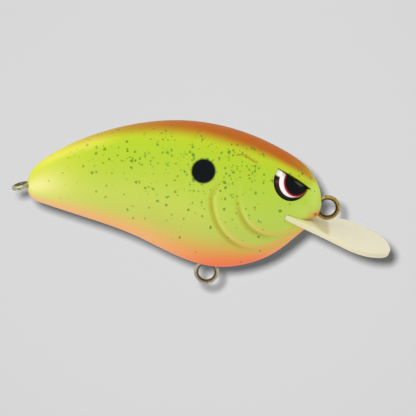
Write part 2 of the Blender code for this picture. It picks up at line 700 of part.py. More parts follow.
right_shell = shell("right_body_shell", RIGHT)
left_shell = shell("left_body_shell", LEFT)
paint(right_shell, "right_shell_paint", (0.53, 0.67, 0.05), 0.3)
paint(left_shell, "left_shell_paint", (0.53, 0.67, 0.05), 0.3)

lip = lip_plate("diving_lip", 0.0, parts)
paint(lip, "lip_plastic", (0.77, 0.71, 0.52), 0.25)

wires = [
    hanger("line_tie", EYE_RING_DIAMETER, LINE_TIE_REACH, parts, tie_frame),
    hanger("belly_hanger", EYE_RING_DIAMETER, BELLY_HANGER_REACH, parts, belly_frame),
    hanger("tail_hanger", TAIL_RING_DIAMETER, TAIL_HANGER_REACH, parts, tail_frame)]
for wire in wires:
    paint(wire, wire.name + "_wire", (0.35, 0.27, 0.13), 0.3, 1.0)

for tag, side in (("right", RIGHT), ("left", LEFT)):
    frame = eye_frame(side)
    disc_low = EYE_CLEARANCE - EYE_SOCKET_DEPTH
    dome_low = disc_low + EYE_DISC_THICKNESS + EYE_CLEARANCE
    disc_at = frame @ Matrix.Translation((0.0, 0.0, disc_low + EYE_DISC_THICKNESS / 2.0))
    disc = outline_solid(tag + "_eye_disc", eye_outline(0.0), EYE_DISC_THICKNESS, parts, disc_at)
    paint(disc, tag + "_eye_print", (0.85, 0.83, 0.78), 0.4)
    tall = EYE_DOME_EDGE + EYE_DOME_RISE
    dome_at = frame @ Matrix.Translation((0.0, 0.0, dome_low + tall))
    dome = outline_solid(tag + "_eye_dome", eye_outline(0.0), 2.0 * tall, parts, dome_at)
    round_radius = (EYE_RADIUS ** 2 + EYE_DOME_RISE ** 2) / (2.0 * EYE_DOME_RISE)
    cap = ball(tag + "_eye_cap", round_radius, Vector((0.0, 0.0, 0.0)), cutters, 40)
    cap.matrix_world = frame @ Matrix.Translation((0.0, 0.0, dome_low + tall - round_radius))
    boolean(dome, cap, 'INTERSECT')
    paint(dome, tag + "_eye_resin", (0.9, 0.9, 0.9), 0.05, 0.0, 1.0)

balls = []
for name, place in zip(("ballast_ball_front", "ballast_ball_rear"), ballast_places):
    balls.append(ball(name, BALLAST_RADIUS, place, parts))
balls.append(ball("casting_weight_ball", WEIGHT_RADIUS, weight_rest, parts))
for name, place in zip(("rattle_ball_front", "rattle_ball_middle", "rattle_ball_rear"), rattle_places):
    balls.append(ball(name, RATTLE_RADIUS, place, parts))
for one in balls:
    paint(one, one.name + "_steel", (0.55, 0.55, 0.56), 0.25, 1.0)
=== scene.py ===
"""Crankbait lure dressed over its CAD frame: painted shells, milky lip, bent wire eyes and printed eyes.

Sizes are in millimetres, by MM or mm(). +X points out of the nose, +Y to the lure's left, +Z to its back,
and the origin is the centre of the line tie's eye.
"""
import math

import bmesh
import bpy
import numpy as np
from mathutils import Matrix, Vector


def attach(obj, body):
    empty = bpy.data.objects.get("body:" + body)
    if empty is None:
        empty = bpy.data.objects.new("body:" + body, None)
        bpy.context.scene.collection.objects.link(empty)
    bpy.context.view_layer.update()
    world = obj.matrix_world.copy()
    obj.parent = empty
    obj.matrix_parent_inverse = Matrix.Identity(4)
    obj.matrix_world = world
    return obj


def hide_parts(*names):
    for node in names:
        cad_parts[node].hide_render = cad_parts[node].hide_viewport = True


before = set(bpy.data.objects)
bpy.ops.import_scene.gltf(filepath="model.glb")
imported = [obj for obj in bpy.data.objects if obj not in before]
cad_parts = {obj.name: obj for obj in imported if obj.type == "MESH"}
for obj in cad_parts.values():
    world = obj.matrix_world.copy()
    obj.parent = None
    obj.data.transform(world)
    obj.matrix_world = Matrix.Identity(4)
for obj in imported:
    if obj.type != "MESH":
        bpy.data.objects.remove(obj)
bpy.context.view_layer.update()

MM = 0.001


def mm(*sizes):
    return tuple(size * MM for size in sizes)


BODY = "lure_body"
RIGHT = -1.0
LEFT = 1.0
SIDES = (("right", RIGHT), ("left", LEFT))

# Body outline, as in the CAD model
BODY_LENGTH = 54.5 * MM
BODY_WIDTH = 14.0 * MM
BACK_HEIGHT = 16.5 * MM
BELLY_DEPTH = 11.2 * MM
TAIL_HEIGHT = 3.93 * MM
NOSE_HEIGHT = 0.91 * MM
NOSE_SETBACK = 1.15 * MM
SECTION_FULLNESS = 2.4
WALL = 1.2 * MM
PARTING_GAP = 0.002 * MM
BACK_LINE = [(0.0, 0.0), (0.012, 0.22), (0.06, 0.433), (0.17, 0.696), (0.35, 0.927), (0.52, 0.992),
             (0.70, 0.886), (0.85, 0.665), (0.94, 0.453), (0.985, 0.246), (1.0, 0.0)]
BELLY_LINE = [(0.0, 0.0), (0.012, 0.118), (0.06, 0.198), (0.20, 0.347), (0.38, 0.589), (0.52, 0.86),
              (0.64, 0.995), (0.74, 0.96), (0.84, 0.788), (0.92, 0.508), (0.975, 0.28), (1.0, 0.0)]
WIDTH_LINE = [(0.0, 0.0), (0.0236, 0.286), (0.0845, 0.443), (0.186, 0.657), (0.307, 0.857), (0.43, 0.971),
              (0.55, 1.0), (0.652, 0.979), (0.794, 0.829), (0.875, 0.679), (0.936, 0.507),
              (0.983, 0.279), (1.0, 0.0)]
STATIONS = 440
FLANK_STEPS = 160
MERGE = 0.001 * MM
LEAST = 0.01 * MM
HOLLOW_FROM = 0.10
HOLLOW_TO = 0.826
HOLLOW_ROWS = 30
HOLLOW_COLUMNS = 48

# Gill covers as ellipses in the side view: centre x, centre z, half length, half height below and above
REAR_GILL = mm(-12.62, 3.29, 8.44, 9.6, 4.2)
FRONT_GILL = mm(-9.66, 3.33, 6.59, 7.2, 6.6)
GILL_RISE = 0.24 * MM
GILL_GROOVE = 0.1 * MM
GILL_SWELL = 1.1 * MM
GILL_STEP = mm(0.05, 0.55)
GILL_GROOVE_HOLD = 0.75 * MM
GILL_GROOVE_FADE = 0.5 * MM

# Angles round a gill cover, in degrees, between which it stands out, and over which it comes and goes
REAR_GILL_ARC = (4.0, 118.0)
FRONT_GILL_ARC = (8.0, 102.0)
GILL_COMES = 45.0
GILL_GOES = 35.0

# Brow over the eye, and the moulded line on the head
BROW_RISE = 0.5 * MM
BROW_DEPTH = 3.2 * MM
BROW_HALF_LENGTH = 3.5 * MM
BROW_STEP = mm(-0.5, -0.2)
BROW_FALL = 1.5
HEAD_LINE_DEPTH = 0.05 * MM
HEAD_LINE_WIDTH = 0.16 * MM
HEAD_LINE = [mm(-16.95, 11.22), mm(-15.96, 11.23), mm(-14.91, 10.69), mm(-13.85, 9.94), mm(-13.25, 9.76)]

# Eyes
EYE_X = -6.77 * MM
EYE_Z = 5.98 * MM
EYE_RADIUS = 3.56 * MM
EYE_BROW_OFFSET = 0.73 * MM
EYE_BROW_SLOPE = math.radians(31.0)
EYE_SOCKET_DEPTH = 1.7 * MM
EYE_CLEARANCE = 0.06 * MM
EYE_DISC_THICKNESS = 0.5 * MM
EYE_DOME_RISE = 1.1 * MM
EYE_DOME_EDGE = 0.25 * MM
EYE_DOME_EASE = 0.25 * MM
EYE_DOME_EASE_FROM = 0.92
EYE_DOME_EASE_RUN = 0.6 * MM
EYE_DISC_EDGE = 0.05 * MM
EYE_STEPS = 120
DOME_RINGS = 26
PLATE_ROUNDNESS = 4

# Wire eyes
WIRE_DIAMETER = 0.85 * MM
WIRE_CLEARANCE = 0.08 * MM
EYE_RING_DIAMETER = 4.7 * MM
TAIL_RING_DIAMETER = 3.6 * MM
INNER_LOOP_DIAMETER = 3.4 * MM
LEG_GAP = 0.3 * MM
LEG_FILLET = 0.5 * MM
WIRE_END_GAP = 0.3 * MM
LINE_TIE_REACH = 4.8 * MM
LINE_TIE_TILT = math.radians(14.0)
BELLY_HANGER_X = -22.49 * MM
BELLY_HANGER_DROP = 1.6 * MM
BELLY_HANGER_REACH = 5.0 * MM
TAIL_HANGER_OVERHANG = 1.15 * MM
TAIL_HANGER_LIFT = 0.22 * MM
TAIL_HANGER_REACH = 4.6 * MM
TAIL_HANGER_TILT = math.radians(14.0)
WIRE_STEPS = 30
WIRE_ROUNDNESS = 6

# Diving lip and the mouth above it
LIP_LENGTH = 21.2 * MM
LIP_WIDTH = 19.5 * MM
LIP_THICKNESS = 1.0 * MM
LIP_EDGE = 0.3 * MM
LIP_BOW = 0.32 * MM
LIP_SLOPE = math.radians(20.4)
LIP_REAR_SETBACK = 8.19 * MM
LIP_DROP_AT_ORIGIN = 3.57 * MM
LIP_CORNER = 0.9 * MM
LIP_CLEARANCE = 0.05 * MM
LIP_HALF_WIDTHS = [(0.0, 0.52), (0.155, 0.585), (0.34, 0.708), (0.50, 0.87), (0.62, 0.987), (0.695, 1.0),
                   (0.76, 0.968), (0.85, 0.84), (0.945, 0.592), (1.0, 0.0)]
LIP_STEPS = 90
LIP_CORNER_STEPS = 10
LIP_EDGE_STEPS = 13
MOUTH_DROP = 1.5 * MM

# Angles, in degrees, above which an edge shows as sharp
SHELL_CREASE = 40.0
LIP_CREASE = 30.0
SMALL_CREASE = 50.0

# Paint along the body, as lines over the station (0 at the tail, 1 at the nose)
BACK_EDGE = [(0.0, 1.0), (0.2, 0.99), (0.3, 0.982), (0.4, 0.968), (0.5, 0.956), (0.6, 0.948), (0.7, 0.935),
             (0.82, 0.922), (0.88, 0.907), (0.93, 0.898), (0.96, 0.89), (1.0, 0.97)]
BACK_COVER = [(0.0, 0.0), (0.1, 0.15), (0.2, 0.55), (0.3, 0.76), (0.4, 0.87), (0.5, 0.95), (0.6, 1.0),
              (0.88, 1.0), (0.93, 0.88), (0.96, 0.65), (0.985, 0.25), (1.0, 0.0)]
BELLY_REACH = [(0.0, 0.31), (0.68, 0.31), (0.77, 0.23), (1.0, 0.22)]
BELLY_COVER = [(0.0, 1.0), (0.8, 1.0), (0.88, 0.78), (1.0, 0.7)]
HAZE_COVER = [(0.0, 0.1), (0.35, 0.5), (0.45, 1.0), (0.66, 1.0), (0.8, 0.6), (1.0, 0.0)]
FLECKS_ALONG = [(0.0, 0.12), (0.12, 0.34), (0.25, 0.44), (0.38, 0.64), (0.46, 0.9), (0.56, 1.0),
                (0.72, 1.0), (0.79, 0.72), (0.86, 0.3), (0.93, 0.08), (1.0, 0.03)]
# Stations of the painted highlight under the back, toward the tail
BACK_HIGHLIGHT_STATIONS = ((0.0, 0.08), (0.2, 0.36))
HOT_STATIONS = (0.38, 0.66)
HOT_FADE_STATIONS = (0.74, 0.86)
HOT_FADE = 0.45
HEAD_STATIONS = (0.5, 0.85)
TAIL_STATIONS = (-0.05, 0.31)
# Stations of the painted light over the nose tip, and of the jaw above the lip, where it offsets the shade
NOSE_STATIONS = (0.93, 0.98)
JAW_STATIONS = (0.84, 0.94)
HOLLOW_STATIONS = ((HOLLOW_FROM - 0.01, HOLLOW_FROM), (HOLLOW_TO, HOLLOW_TO + 0.01))

# Paint up the flank, as shares of its height (0 at the belly, 1 at the back)
FLECKS_UP = [(0.0, 0.02), (0.15, 0.05), (0.3, 0.15), (0.45, 0.36), (0.6, 0.8), (0.75, 1.05),
             (0.9, 0.95), (0.95, 0.5), (1.0, 0.35)]
BACK_BLUR = (-0.045, 0.04)
FRINGE_BLUR = (-0.11, -0.03)
# Heights of the painted highlight under the back
BACK_HIGHLIGHT_HEIGHTS = (0.86, 0.95)
BELLY_START = 0.02
HAZE_HEIGHTS = ((0.02, 0.16), (0.24, 0.5))
LOWER_HEIGHTS = (0.2, 0.95)
JAW_HEIGHTS = (0.3, 0.55)
WALL_SHARES = (0.93, 0.96)

# Painted highlight at the tail: its place and reach, by station and height, and how far it fades behind its
# place
TAIL_HIGHLIGHT_PLACE = (0.03, 0.5)
TAIL_HIGHLIGHT_REACH = (0.085, 0.22)
TAIL_HIGHLIGHT_BEHIND = -0.5

# Paint round the gills, each with the angles of its shade and the end of its fade, and on the face
GILL_PAINT = [(REAR_GILL, 10.0, 54.0, 1.4 * MM), (FRONT_GILL, 32.0, 58.0, 1.5 * MM)]
THROAT_ARC = (72.0, 112.0)
# Painted shade in the groove outside each cover, and the band of painted highlight along each cover's edge,
# which also bounds the warm throat
GROOVE_RISE = mm(0.0, 0.5)
GROOVE_HOLD = 0.55 * MM
CREST_BAND = (mm(-0.7, -0.2), mm(-0.1, 0.2))
# Painted light on the raised brow: how far it runs along the brow, and where it rises above the brow's edge
# and fades
BROW_ENDS = mm(2.8, 4.4)
BROW_LIGHT_BAND = (mm(-0.1, 0.2), mm(0.4, 1.5))
# Painted shade under the brow: its run along the brow, and its rise and fall across the brow's edge
CREASE_BAND = (mm(-2.4, -1.2), mm(3.6, 4.1))
CREASE_RISE = mm(-0.3, -0.2)
CREASE_FALL = mm(0.0, 0.12)
HEAD_LINE_BLUR = mm(0.03, 0.23)
MOUTH_BLUR = mm(0.15, 0.5)
MOUTH_BAND = (mm(-5.2, -4.4), mm(-2.4, -1.6))
CHIN_RUN = mm(-4.4, -3.0)
CHIN_HEIGHTS = mm(-1.2, 1.2)
SPOT_PLACE = mm(-2.33, -0.81)
SPOT_BLUR = mm(0.15, 0.5)
DOT_CENTRE = mm(-23.02, 8.53)
DOT_RADIUS = 2.21 * MM
DOT_SOFTNESS = 0.24 * MM

# Paint colours as screen values, painted light and shade among them; the coats, in the order they are laid
# on, are mask, strength and colour
UPPER_FLANK = (186, 214, 46)
LOWER_FLANK_TONES = ((208, 222, 100), (190, 216, 90))
TAIL_TONES = ((226, 229, 74), (226, 228, 110))
BELLY_TONES = ((255, 184, 122), (255, 124, 82))
# Painted light among these coats: a highlight at the tail, paler paint over the nose tip and jaw, a highlight
# under the back and a yellower band on the raised brow
FLANK_COATS = [("tail_highlight", 1.0, (248, 245, 152)), ("nose", 0.7, (212, 234, 110)), ("back_highlight", 0.7, (242, 236, 92)),
               ("fringe", 0.22, (222, 206, 44)), ("brow", 0.7, (199, 204, 50)), ("back", 1.0, (190, 101, 28)),
               ("haze", 0.28, (190, 168, 80))]
BELLY_COATS = [("tail", 0.6, (252, 204, 160))]
# The groove coat is painted shade outside the gill covers; the crest coat is a painted highlight on their
# edges
GILL_COATS = [("groove", 0.68, (180, 164, 36)), ("crest_highlight", 0.45, (230, 229, 120)),
              ("throat", 0.5, (244, 160, 96))]
FACE_COATS = [("spot", 1.0, (226, 96, 44)), ("line", 0.8, (176, 116, 34)), ("mouth", 0.7, (222, 162, 76))]
CHIN_STRENGTH = 0.55
CHIN_TONE = (232, 150, 84)
BROW_SHADE_TONE = (58, 56, 22)
DOT_TONE = (16, 21, 24)
INSIDE_TONE = (236, 231, 212)

# Flecks: cells to a metre, odds, least and largest radius in cells, and cover
FLECK_KINDS = [(1250.0, 0.5, 0.3, 0.54, 0.64), (1850.0, 0.3, 0.34, 0.6, 0.56)]
FLECK_SOFTNESS = 0.26
FLECK_WANDER = 0.35 * MM
FLECK_TAIL_COVER = 0.6
FLECK_TONES = ((62, 108, 30), (40, 144, 66))

# Lip plastic, the painted shade on its rounded edge, the paint drift near the body, and the nose's painted
# shadow on the lip, warmed by the body's colour
LIP_TONES = ((233, 225, 192), (237, 230, 199))
LIP_EDGE_SHADE_TONE = (229, 219, 187)
LIP_EDGE_SHADE_COVER = 0.7
DRIFT_TONE = (228, 234, 134)
DRIFT_RUN = mm(2.5, 6.2)
NOSE_SHADOW_TONES = ((242, 216, 124), (208, 192, 104), (198, 190, 134))
NOSE_SHADOW_TURNS = (mm(4.8, 6.4), mm(6.2, 8.2))
NOSE_SHADOW_COVER = 0.75
NOSE_SHADOW_FROM = 4.0 * MM
NOSE_SHADOW_FROM_SLANT = 0.42
NOSE_SHADOW_FROM_BLUR = mm(-0.6, 1.4)
NOSE_SHADOW_TO = 8.95 * MM
NOSE_SHADOW_TO_BOW = -0.9 * MM
NOSE_SHADOW_HALF_WIDTH = 10.0 * MM
NOSE_SHADOW_TO_BLUR = mm(-0.5, 0.5)

# Wire colours: clean, and dark for tarnish patches and for the painted dark reflection inside each eye
WIRE_TONES = {"line_tie": ((203, 170, 95), (87, 64, 32)),
              "belly_hanger": ((207, 202, 172), (109, 89, 65)),
              "tail_hanger": ((201, 197, 161), (117, 109, 84))}
DARK_REFLECTION_EDGE = mm(-0.2, 0.15)
BALL_TONES = ((150, 150, 152), (190, 190, 192))
GRAIN_HEIGHT = 0.02 * MM

# Fineness of each noise, to a metre
CLUMP_NOISE = 330.0
RAGGED_NOISE = 2600.0
SMEAR_NOISE = 1500.0
GRAIN_NOISE = 5200.0
CLOUD_NOISE = 160.0
RIPPLE_NOISE = 700.0
TARNISH_NOISE = 1100.0
STREAK_NOISE = 4000.0
PRINT_NOISE = 1800.0
WEAR_NOISE = 900.0

# Round marks of the eye print: centre along the brow and up across it, span of the edge's blur, and cover
PUPIL = (mm(0.88, 0.44), mm(2.37, 2.51), 1.0)
RING = (mm(0.87, 0.34), mm(2.58, 2.72), 1.0)
PINK = (mm(0.87, 0.34), mm(2.72, 2.88), 0.55)
# Painted shade under the brow, greying the white at the eye's rear
UNDER_BROW_SHADE = (mm(-2.0, 0.3), mm(0.1, 0.7), 0.45)
ROSE = (mm(-2.5, -1.5), mm(0.1, 0.5), 0.7)
RIM_CENTRE = mm(0.27, -0.06)
RIM_EDGE = mm(2.66, 2.8)
# Painted highlight: the rim stays open at the top rear corner, so the white reaches the brow
RIM_HIGHLIGHT_ABOVE = mm(-0.7, -0.3)
RIM_HIGHLIGHT_BEHIND = mm(-1.4, -0.4)
# Painted reflection on the pupil: its place ahead and up, its squeeze along the brow, its edge and cover
GLEAM_AHEAD = 1.25 * MM
GLEAM_UP = 0.32 * MM
GLEAM_SQUEEZE = 0.33
GLEAM_EDGE = mm(0.05, 0.46)
GLEAM_COVER = 0.9
# Pupil: black, and the grey of its painted reflection
PUPIL_TONES = ((7, 10, 13), (92, 98, 94))
RING_TONE = (160, 14, 38)
PINK_TONE = (240, 190, 196)
# White of the eye, and the olive-grey of the painted shade under the brow
WHITE_TONES = ((255, 253, 250), (120, 116, 96))
ROSE_TONE = (140, 50, 66)
RIM_TONES = ((30, 20, 11), (52, 37, 22))

# Camera and stage
FRAME_PIXELS = 416
PIXEL = 55.0 / 296.0 * MM
VIEW_ELEVATION = math.radians(15.0)
LENS = 150.0
SENSOR = 36.0
CLIP_START = 0.01
CLIP_END = 20.0
VIEW_X = -22.2 * MM
VIEW_HEIGHT = -0.1 * MM
PANEL_DEPTH = 250.0 * MM
PANEL_SIZE = 170.0 * MM
PANEL_TONE = 0.137
PANEL_LIGHT = 4.12
SHADOW_SHIFT = mm(2.92, 3.17)
SHADOW_LAMP_RADIUS = 2.1 * MM
FLOOR_HEIGHT = -145.0 * MM
FLOOR_SIZE = 4000.0 * MM
FLOOR_TONE = 0.88
FLOOR_SEEN_TONE = 0.69
ROOM_SEEN = 0.694
ROOM_LIGHT = 0.86
KEY_LIGHT = 0.2
KEY_SPREAD = math.radians(60.0)
KEY_SIDE = 0.7
KEY_FALL = 0.9


def linear(*screen):
    """Screen colour from 0 to 255 as the linear colour that shaders take."""
    out = []
    for value in screen:
        value = value / 255.0
        out.append(value / 12.92 if value <= 0.04045 else ((value + 0.055) / 1.055) ** 2.4)
    return (*out, 1.0)


def natural_cubic(points):
    """A smooth curve through (place, value) points, straight at both ends."""
    place, value = np.array(points, float).T
    step = np.diff(place)
    count = len(points)
    system = np.eye(count)
    bends = np.zeros(count)
    for i in range(1, count - 1):
        system[i, i - 1:i + 2] = step[i - 1], 2.0 * (step[i - 1] + step[i]), step[i]
        rise = (value[i + 1] - value[i]) / step[i]
        bends[i] = 6.0 * (rise - (value[i] - value[i - 1]) / step[i - 1])
    curve = np.linalg.solve(system, bends)

    def read(at):
        at = np.asarray(at, float)
        i = np.clip(np.searchsorted(place, at) - 1, 0, count - 2)
        left = (place[i + 1] - at) / step[i]
        right = 1.0 - left
        bow = (left ** 3 - left) * curve[i] + (right ** 3 - right) * curve[i + 1]
        return left * value[i] + right * value[i + 1] + bow * step[i] ** 2 / 6.0

    return read


def turn_of(station):
    return np.arccos(1.0 - 2.0 * np.clip(station, 0.0, 1.0))


def round_ended(line):
    inner = natural_cubic([(float(turn_of(station)), share) for station, share in line])
    return lambda station: inner(turn_of(station))


back_share = round_ended(BACK_LINE)
belly_share = round_ended(BELLY_LINE)
width_share = round_ended(WIDTH_LINE)


def smooth(value, low, high):
    """Eased step from 0 at low to 1 at high."""
    share = np.clip((np.asarray(value, float) - low) / (high - low), 0.0, 1.0)
    return share * share * (3.0 - 2.0 * share)


def band(value, rise, fall):
    """Eased band: up from 0 over the first span and down again over the second."""
    return smooth(value, *rise) * (1.0 - smooth(value, *fall))


def read_line(points, at):
    """Straight-line reading of (place, value) points."""
    return np.interp(at, *zip(*points))


def station_x(station):
    return -NOSE_SETBACK - BODY_LENGTH * (1.0 - station)


def x_station(x):
    return 1.0 + (x + NOSE_SETBACK) / BODY_LENGTH


def section(station):
    """Top, bottom and half-width of the body at stations."""
    tip_line = TAIL_HEIGHT + (NOSE_HEIGHT - TAIL_HEIGHT) * station
    top = tip_line + back_share(station) * (BACK_HEIGHT - tip_line)
    bottom = tip_line - belly_share(station) * (tip_line + BELLY_DEPTH)
    return top, bottom, np.maximum(width_share(station), 0.0) * BODY_WIDTH / 2.0


def power(value):
    return np.copysign(np.abs(value) ** (2.0 / SECTION_FULLNESS), value)


def flank(station, angle, side, inset=0.0):
    """Points of the body's surface; the angle runs from the belly (-90 degrees) to the back (90)."""
    top, bottom, half_width = section(station)
    across = np.maximum(half_width - inset, 0.0) * power(np.cos(angle))
    height = (top + bottom) / 2.0 + np.maximum((top - bottom) / 2.0 - inset, 0.0) * power(np.sin(angle))
    return np.stack([station_x(station) + 0.0 * angle, side * across, height], -1)


def flank_normal(station, angle, side):
    small = 0.001
    along = flank(station + small, angle, side) - flank(station - small, angle, side)
    around = flank(station, angle + small, side) - flank(station, angle - small, side)
    normal = np.cross(around, along) * side
    return normal / np.maximum(np.linalg.norm(normal, axis=-1, keepdims=True), 1e-12)


def flank_angle(station, height):
    top, bottom, _ = section(station)
    share = (height - (top + bottom) / 2.0) / ((top - bottom) / 2.0)
    return np.arcsin(np.copysign(np.minimum(np.abs(share), 1.0) ** (SECTION_FULLNESS / 2.0), share))


def gill_place(x, z, gill):
    """Distance outside a gill cover's edge, and the angle round it: 0 behind, 90 below, 180 ahead."""
    back = gill[0] - x
    down = gill[1] - z
    tall = np.where(down > 0.0, gill[3], gill[4])
    reach = np.maximum(np.hypot(back / gill[2], down / tall), 0.001)
    slope = np.hypot(back / gill[2] ** 2, down / tall ** 2) / reach
    return (reach - 1.0) / np.maximum(slope, 1.0), np.degrees(np.arctan2(down, back))


def gill_strength(angle, first, last):
    return band(angle, (first - GILL_COMES, first), (last, last + GILL_GOES))


def gill_relief(x, z, gill, first, last):
    """Gill cover that lifts toward its edge, drops there, and leaves a shallow groove outside."""
    out, angle = gill_place(x, z, gill)
    inside = GILL_RISE * np.exp(np.minimum(out, 0.0) / GILL_SWELL)
    drop = smooth(out, *GILL_STEP)
    groove = GILL_GROOVE * np.exp(-np.maximum(out - GILL_GROOVE_HOLD, 0.0) / GILL_GROOVE_FADE)
    return gill_strength(angle, first, last) * (inside * (1.0 - drop) - groove * drop)


def brow_place(x, z):
    """Place beside the eye: along the brow toward the nose, and above the brow's edge."""
    ahead = x - EYE_X
    up = z - EYE_Z
    along = ahead * math.cos(EYE_BROW_SLOPE) - up * math.sin(EYE_BROW_SLOPE)
    above = ahead * math.sin(EYE_BROW_SLOPE) + up * math.cos(EYE_BROW_SLOPE) - EYE_BROW_OFFSET
    return along, above


def brow_relief(x, z):
    along, above = brow_place(x, z)
    ends = np.clip(1.0 - (along / BROW_HALF_LENGTH) ** 2, 0.0, 1.0)
    fade = np.clip(1.0 - above / BROW_DEPTH, 0.0, 1.0) ** BROW_FALL
    return BROW_RISE * ends * fade * smooth(above, *BROW_STEP)


def line_distance(x, z, points):
    """Distance to a line of points in the side view."""
    best = np.full(np.shape(x), 1.0)
    for (ax, az), (bx, bz) in zip(points, points[1:]):
        run = (bx - ax) ** 2 + (bz - az) ** 2
        share = np.clip(((x - ax) * (bx - ax) + (z - az) * (bz - az)) / run, 0.0, 1.0)
        best = np.minimum(best, np.hypot(x - ax - share * (bx - ax), z - az - share * (bz - az)))
    return best


def relief(x, z):
    """Height of the moulded forms above the plain flank."""
    lift = gill_relief(x, z, REAR_GILL, *REAR_GILL_ARC) + gill_relief(x, z, FRONT_GILL, *FRONT_GILL_ARC)
    lift = lift + brow_relief(x, z)
    return lift - HEAD_LINE_DEPTH * np.exp(-(line_distance(x, z, HEAD_LINE) / HEAD_LINE_WIDTH) ** 2)


def add_object(name, data):
    made = bpy.data.objects.new(name, data)
    bpy.context.scene.collection.objects.link(made)
    return made


def face_outward(mesh, merge):
    """Turns a mesh's faces outward, after joining points closer than merge."""
    work = bmesh.new()
    work.from_mesh(mesh)
    if merge > 0.0:
        bmesh.ops.remove_doubles(work, verts=work.verts, dist=merge)
    bmesh.ops.recalc_face_normals(work, faces=work.faces)
    work.to_mesh(mesh)
    work.free()


def add_mesh(name, verts, faces):
    mesh = bpy.data.meshes.new(name)
    mesh.from_pydata([tuple(point) for point in verts], [], faces)
    face_outward(mesh, 0.0)
    return add_object(name, mesh)


def placed(x, y, z, origin):
    """Matrix with the given axes and origin."""
    return Matrix((*zip(x, y, z, origin), (0.0, 0.0, 0.0, 1.0)))


def final_mesh(target):
    """New mesh with an object's modifiers or curve settings applied."""
    bpy.context.view_layer.update()
    evaluated = target.evaluated_get(bpy.context.evaluated_depsgraph_get())
    return bpy.data.meshes.new_from_object(evaluated)


def cut(target, tools):
    for tool in tools:
        modifier = target.modifiers.new("cut_" + tool.name, 'BOOLEAN')
        modifier.operation = 'DIFFERENCE'
        modifier.solver = 'MANIFOLD'
        modifier.object = tool
    mesh = final_mesh(target)
    target.modifiers.clear()
    target.data = mesh


def smooth_shade(target, degrees):
    target.data.shade_smooth()
    target.data.set_sharp_from_angle(angle=math.radians(degrees))


def grid_faces(rows, columns, loop):
    """Faces between rows of points, closed round each row where loop is true."""
    faces = []
    for i in range(rows - 1):
        for j in range(columns if loop else columns - 1):
            a = i * columns + j
            b = i * columns + (j + 1) % columns
            faces.append((a, b, b + columns, a + columns))
    return faces


def half_body(name, side):
    """Closed half of the body with its gill covers, brow and head line raised on the flank."""
    station = (1.0 - np.cos(np.pi * np.arange(1, STATIONS) / STATIONS)) / 2.0
    angle = np.pi * (np.arange(FLANK_STEPS + 1) / FLANK_STEPS - 0.5)
    station, angle = np.meshgrid(station, angle, indexing="ij")
    points = flank(station, angle, side)
    lift = relief(points[..., 0], points[..., 2])
    lift[:, 0] = 0.0
    lift[:, -1] = 0.0
    points = points + flank_normal(station, angle, side) * lift[..., None]
    plane = side * PARTING_GAP / 2.0
    points[:, 0, 1] = plane
    points[:, -1, 1] = plane
    rows, columns = station.shape
    verts = list(points.reshape(-1, 3))
    tail = len(verts)
    nose = tail + 1
    verts.append((station_x(0.0), plane, TAIL_HEIGHT))
    verts.append((station_x(1.0), plane, NOSE_HEIGHT))
    faces = grid_faces(rows, columns, False)
    last = (rows - 1) * columns
    for j in range(columns - 1):
        faces.append((tail, j + 1, j))
        faces.append((nose, last + j, last + j + 1))
    for i in range(rows - 1):
        belly = i * columns
        back = belly + columns - 1
        faces.append((belly, belly + columns, back + columns, back))
    faces.append((tail, 0, columns - 1))
    faces.append((nose, last + columns - 1, last))
    return add_mesh(name, verts, faces)


def hollow():
    """Inside of the body: the outline drawn in by the wall, with flat ends."""
    station = np.linspace(HOLLOW_FROM, HOLLOW_TO, HOLLOW_ROWS)
    angle = 2.0 * np.pi * (np.arange(HOLLOW_COLUMNS) + 0.5) / HOLLOW_COLUMNS
    station, angle = np.meshgrid(station, angle, indexing="ij")
    rows, columns = station.shape
    verts = flank(station, angle, LEFT, WALL).reshape(-1, 3)
    faces = grid_faces(rows, columns, True)
    faces.append(list(range(columns)))
    faces.append([(rows - 1) * columns + j for j in reversed(range(columns))])
    return add_mesh("hollow", verts, faces)


def arc(centre, radius, start, end, steps):
    angles = np.linspace(start, end, steps + 1)
    return [(centre[0] + radius * math.cos(a), centre[1] + radius * math.sin(a)) for a in angles]


def half_hanger(ring, loop, reach):
    """One side of a bent wire eye in its own plane, from the inner loop's end to the ring's far point."""
    side = (LEG_GAP + WIRE_DIAMETER) / 2.0 + LEG_FILLET
    ring_run = math.sqrt((ring + LEG_FILLET) ** 2 - side ** 2)
    loop_run = math.sqrt((loop + LEG_FILLET) ** 2 - side ** 2)
    ring_turn = math.atan2(side, -ring_run)
    loop_turn = math.atan2(side, loop_run)
    end_turn = math.pi - WIRE_END_GAP / 2.0 / loop
    few = WIRE_STEPS // 3
    points = arc((-reach, 0.0), loop, end_turn, loop_turn, WIRE_STEPS)
    points += arc((-reach + loop_run, side), LEG_FILLET, loop_turn - math.pi, -math.pi / 2.0, few)[1:]
    points += arc((-ring_run, side), LEG_FILLET, -math.pi / 2.0, ring_turn - math.pi, few)
    points += arc((0.0, 0.0), ring, ring_turn, 0.0, WIRE_STEPS)[1:]
    return points


def curve_mesh(name, curve, matrix):
    """Mesh object with the shape of a curve, which goes."""
    holder = add_object(name, curve)
    mesh = final_mesh(holder)
    bpy.data.objects.remove(holder)
    face_outward(mesh, MERGE)
    made = add_object(name, mesh)
    made.matrix_world = matrix
    return made


def poly_curve(name, points, closed):
    curve = bpy.data.curves.new(name, 'CURVE')
    line = curve.splines.new('POLY')
    line.points.add(len(points) - 1)
    for point, place in zip(line.points, points):
        point.co = (place[0], place[1], 0.0, 1.0)
    line.use_cyclic_u = closed
    return curve


